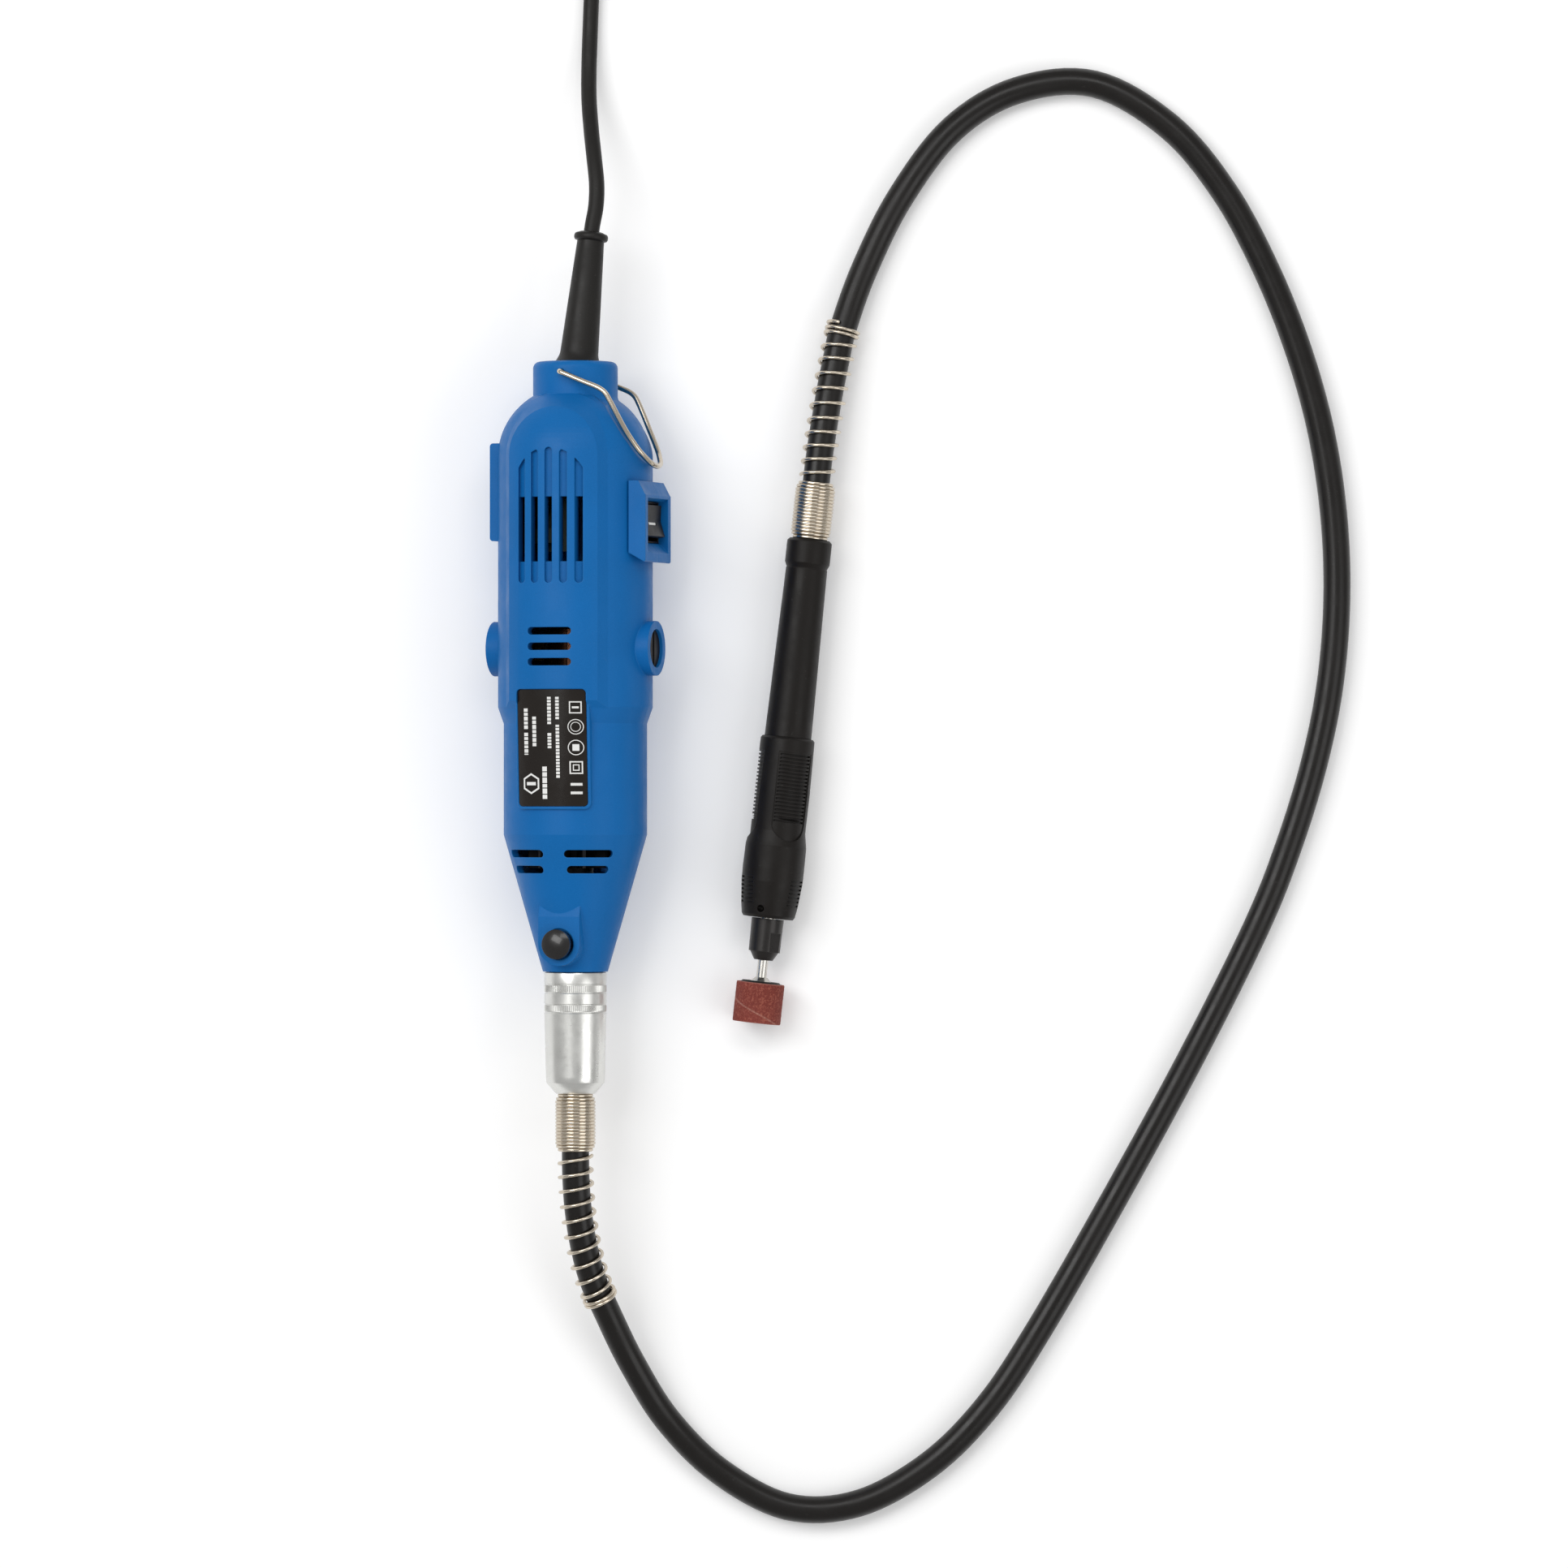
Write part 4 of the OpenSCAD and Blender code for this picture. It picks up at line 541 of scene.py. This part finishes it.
FLIP = Matrix.Rotation(math.radians(180), 4, "X")
tool_ferrule = lathe("tool_ferrule_ribbed", ferrule_outline(5.5, 6.0, 1.5),
                     TOOL @ Matrix.Translation((0, 0, COUPLING_END)), seg=96, shade=50,
                     replaces=["tool_ferrule"], slot="tool_ferrule")
hand_ferrule = lathe("hand_ferrule_ribbed", ferrule_outline(4.9, 6.0, 8.0), HAND @ FLIP, seg=96,
                     shade=50, replaces=["hand_ferrule"], slot="hand_ferrule")
dress(tool_ferrule, M["nickel"])
dress(hand_ferrule, M["nickel"])


def on_line(points, x):
    """The flexible shaft's route at a place given in route points, as in the CAD source."""
    last = len(points) - 1
    i = max(0, min(int(math.floor(x)), last - 1))
    p, q, r, s = (Vector(points[j]) for j in (max(i - 1, 0), i, i + 1, min(i + 2, last)))
    t = x - i
    return 0.5 * (2 * q + (r - p) * t + (2 * p - 5 * q + 4 * r - s) * t * t
                  + (3 * q - p - 3 * r + s) * t ** 3)


def spring_line(x0, way, spacing, open_turns, closed_turns, pitch, steps=40):
    out = []
    for k in range(round((open_turns + closed_turns) * steps) + 1):
        t = k / steps
        travel = min(t, open_turns) * pitch + max(0.0, t - open_turns) * SPRING_WIRE * 1.05
        x = x0 + way * travel / spacing
        ahead = (on_line(flex_points, x + 0.02) - on_line(flex_points, x - 0.02)).normalized()
        side = ahead.cross(Vector((0, 0, 1))).normalized()
        up = side.cross(ahead)
        turn = 2 * math.pi * t
        out.append(on_line(flex_points, x)
                   + SPRING_R * (math.sin(turn) * up - way * math.cos(turn) * side))
    return out


for name, line in (("tool_spring", spring_line(1.12, 1, 10.2, 9.8, 1.75, 4.6)),
                   ("hand_spring", spring_line(len(flex_points) - 2.16, -1, 9.9, 10, 2.2, 4.55))):
    spring = tube(name + "_wire", line, SPRING_WIRE / 2, 12, replaces=[name], slot=name)
    dress(spring, M["nickel"])

# ---- Bail ----

BAIL_S = 3.5
bail_half = [(0, NECK_R + 1.3, 0), (0.3, NECK_R + 2.1, 0.1), (1.4, NECK_R + 2.4, 0.6),
             (4.4, 15.1, 1.9), (8, 14.8, 3.4), (12.2, 14.5, 5.1), (14.4, 14.2, 6.7),
             (15.9, 13.8, 9.2), (18, 13.1, 13.4), (20, 12.2, 17.5), (22, 10.9, 21.2),
             (24, 8.8, 24.7), (25.8, 5.2, 27.6), (26.3, 2.6, 28.5)]
bail_points = [(0, NECK_R - 2.6, 0), (0, NECK_R + 0.2, 0)] + bail_half + [(26.5, 0, 28.8)]
bail_points += [(a, -u, s) for a, u, s in bail_points[-2::-1]]
bail_line = [TOOL @ Vector((a, u, s + BAIL_S)) / MM for a, u, s in spline(bail_points, 8)]
bail = tube("bail_wire", bail_line, BAIL_WIRE_R, 16, body="bail", replaces=["hanging_bail"],
            slot="hanging_bail")
dress(bail, M["nickel"])

# ---- Marks: plain bars and outlines in place of the label's print, and the rocker's dash ----


def label_point(a, s):
    t = (s - (LABEL_S - LABEL_HALF)) / (2 * LABEL_HALF)
    r = LABEL_TOP_R * (1 - t) + LABEL_LOW_R * t + LABEL_T + 0.02
    return Vector((a, math.sqrt(r * r - a * a), s))


def bar(bm, a0, a1, s0, s1):
    """A bar on the label, fine enough across to follow its curve."""
    n = max(2, round(abs(a1 - a0) / 0.8))
    rows = [[bm.verts.new(TOOL @ label_point(a0 + (a1 - a0) * k / n, s)) for s in (s0, s1)]
            for k in range(n + 1)]
    for p, q in zip(rows, rows[1:]):
        bm.faces.new((p[0], q[0], q[1], p[1]))


def outline(bm, a, s, r_out, r_in, corners, turn=0.0):
    """A closed outline of a regular polygon, each side cut fine enough to follow the label."""
    fine = max(1, 32 // corners)
    rings = []
    for r in (r_out, r_in):
        tips = [(a + r * math.cos(t), s + r * math.sin(t)) for t in
                [2 * math.pi * k / corners + math.radians(turn) for k in range(corners)]]
        rings.append([bm.verts.new(TOOL @ label_point(p[0] + (q[0] - p[0]) * k / fine,
                                                      p[1] + (q[1] - p[1]) * k / fine))
                      for p, q in zip(tips, tips[1:] + tips[:1]) for k in range(fine)])
    for k in range(corners * fine):
        j = (k + 1) % (corners * fine)
        bm.faces.new((rings[0][k], rings[0][j], rings[1][j], rings[1][k]))


def blocks(bm, rng, a0, a1, s0, s1, size):
    """A line of plain blocks of uneven length, where the label has small print."""
    s = s0
    while s < s1 - 0.3:
        step = size * rng.uniform(0.7, 1.15)
        bar(bm, a0, a1, s, min(s1, s + step))
        s += step + 0.28


rng = random.Random(7)
bm = bmesh.new()
for a0, a1, s0, s1, size in ((-8.7, -7.3, 106.5, 113.0, 1.2), (-8.7, -7.3, 113.9, 120.6, 1.2),
                             (-5.7, -4.4, 109.0, 118.0, 1.2), (-2.5, -1.0, 124.2, 134.4, 1.5),
                             (-0.6, 0.6, 103.0, 111.8, 0.9), (-0.6, 0.6, 114.0, 118.6, 0.9),
                             (2.0, 3.1, 103.0, 109.8, 0.8), (2.0, 3.1, 111.5, 128.0, 0.8)):
    blocks(bm, rng, a0, a1, s0, s1, size)
outline(bm, -6.4, 129.4, 3.2, 2.6, 6, 30)
bar(bm, -8.0, -4.8, 128.9, 129.9)
outline(bm, 8.0, 106.2, 2.6, 2.1, 4, 45)
bar(bm, 7.0, 9.0, 105.9, 106.5)
outline(bm, 8.0, 112.1, 2.35, 2.1, 32)
outline(bm, 8.0, 112.1, 1.5, 1.3, 32)
outline(bm, 8.0, 118.4, 2.35, 2.1, 32)
bar(bm, 7.0, 9.0, 117.4, 119.4)
outline(bm, 8.0, 124.5, 2.75, 2.2, 4, 45)
outline(bm, 8.0, 124.5, 1.35, 0.95, 4, 45)
bar(bm, 6.3, 9.7, 129.2, 130.0)
bar(bm, 6.3, 9.7, 131.8, 132.6)
marks = add_mesh("label_marks", bm, slot="rating_label")
dress(marks, M["white"])

dash_place = TOOL @ Matrix.Translation((ROCKER_X, 0, BOX_S)) \
    @ Matrix.Rotation(math.radians(ROCKER_TURN), 4, "Y")
bm = bmesh.new()
dash_half = [(3.0, 0.4), (3.25, 0.25), (3.4, 0.0)]
edge = [(u, z) for u, z in dash_half] + [(u, -z) for u, z in dash_half[-2::-1]]
edge += [(-u, z) for u, z in edge[::-1]]
bm.faces.new([bm.verts.new(dash_place @ Vector((3.2, u * 0.98, 0.9 + z))) for u, z in edge])
dash = add_mesh("rocker_dash", bm, body="rocker", slot="switch_rocker")
dress(dash, M["white"])

# ---- Sanding band ----


def band_piece():
    """A grit-covered band: rings of points with seeded roughness, and a slanted joint."""
    rng = random.Random(21)
    seg, rows = 220, 56
    bm = bmesh.new()
    seam_layer = bm.verts.layers.float.new("seam")
    worn_layer = bm.verts.layers.float.new("worn")
    outer = []
    for j in range(rows + 1):
        z = BAND_LEN * j / rows
        ring = []
        for i in range(seg):
            a = 2 * math.pi * i / seg
            joint = (a * BAND_R + 2.5 * z - 35.3) * 0.371
            near = max(0.0, 1 - abs(joint) / SEAM_HALF)
            dip = 0.10 * near
            edge_round = 0.18 * max(0.0, 1 - min(z, BAND_LEN - z) / 0.35) ** 2
            r = BAND_R - 0.05 - rng.uniform(0, 0.13) - dip - edge_round
            v = bm.verts.new(HAND @ Vector((r * math.cos(a), r * math.sin(a), BAND_T + z)))
            v[seam_layer] = near * rng.uniform(0.25, 1)
            v[worn_layer] = max(0.0, 1 - min(z, BAND_LEN - z) / 0.45)
            ring.append(v)
        outer.append(ring)
    round_ = [(math.cos(2 * math.pi * i / seg), math.sin(2 * math.pi * i / seg)) for i in range(seg)]
    inner = [[bm.verts.new(HAND @ Vector((BAND_IN_R * x, BAND_IN_R * y, BAND_T + z)))
              for x, y in round_] for z in (BAND_LEN, 0.0)]
    for p, q in zip(outer + inner, outer[1:] + inner + outer[:1]):
        for i in range(seg):
            j = (i + 1) % seg
            bm.faces.new((p[i], p[j], q[j], q[i]))
    return add_mesh("sanding_band_grit", bm, 60, body="accessory", replaces=["sanding_band"],
                    slot="sanding_band")


dress(band_piece(), M["grit"])

# ---- Floor and light ----

floor_mesh = bpy.data.meshes.new("floor")
bm = bmesh.new()
bmesh.ops.create_grid(bm, x_segments=1, y_segments=1, size=3.0)
bm.to_mesh(floor_mesh)
bm.free()
floor = bpy.data.objects.new("floor", floor_mesh)
scene.collection.objects.link(floor)
fm = bpy.data.materials.new("floor_paper")
fm.use_nodes = True
fb = fm.node_tree.nodes["Principled BSDF"]
fb.inputs["Base Color"].default_value = (0.96, 0.96, 0.96, 1)
fb.inputs["Roughness"].default_value = 0.9
fb.inputs["Emission Color"].default_value = (1, 1, 1, 1)
fb.inputs["Emission Strength"].default_value = 0.10
floor.data.materials.append(fm)

world = bpy.data.worlds.new("studio")
scene.world = world
world.use_nodes = True
world.node_tree.nodes["Background"].inputs["Color"].default_value = (1, 1, 1, 1)
world.node_tree.nodes["Background"].inputs["Strength"].default_value = 0.50


def area(name, at, look, size, power):
    d = bpy.data.lights.new(name, "AREA")
    d.shape = "RECTANGLE"
    d.size, d.size_y = size
    d.energy = power
    o = bpy.data.objects.new(name, d)
    o.location = at
    o.rotation_euler = (Vector(look) - Vector(at)).to_track_quat("-Z", "Y").to_euler()
    scene.collection.objects.link(o)


area("key", (-0.9, 0.5, 1.5), (0.03, 0, 0), (0.7, 1.2), 12.5)
area("fill", (1.1, -0.4, 1.2), (0.03, 0, 0), (1.0, 1.0), 5.2)
area("top", (0.1, 0.9, 1.6), (0.03, 0, 0), (1.2, 0.5), 5.8)
scene.view_settings.view_transform = "Standard"

bpy.context.view_layer.update()
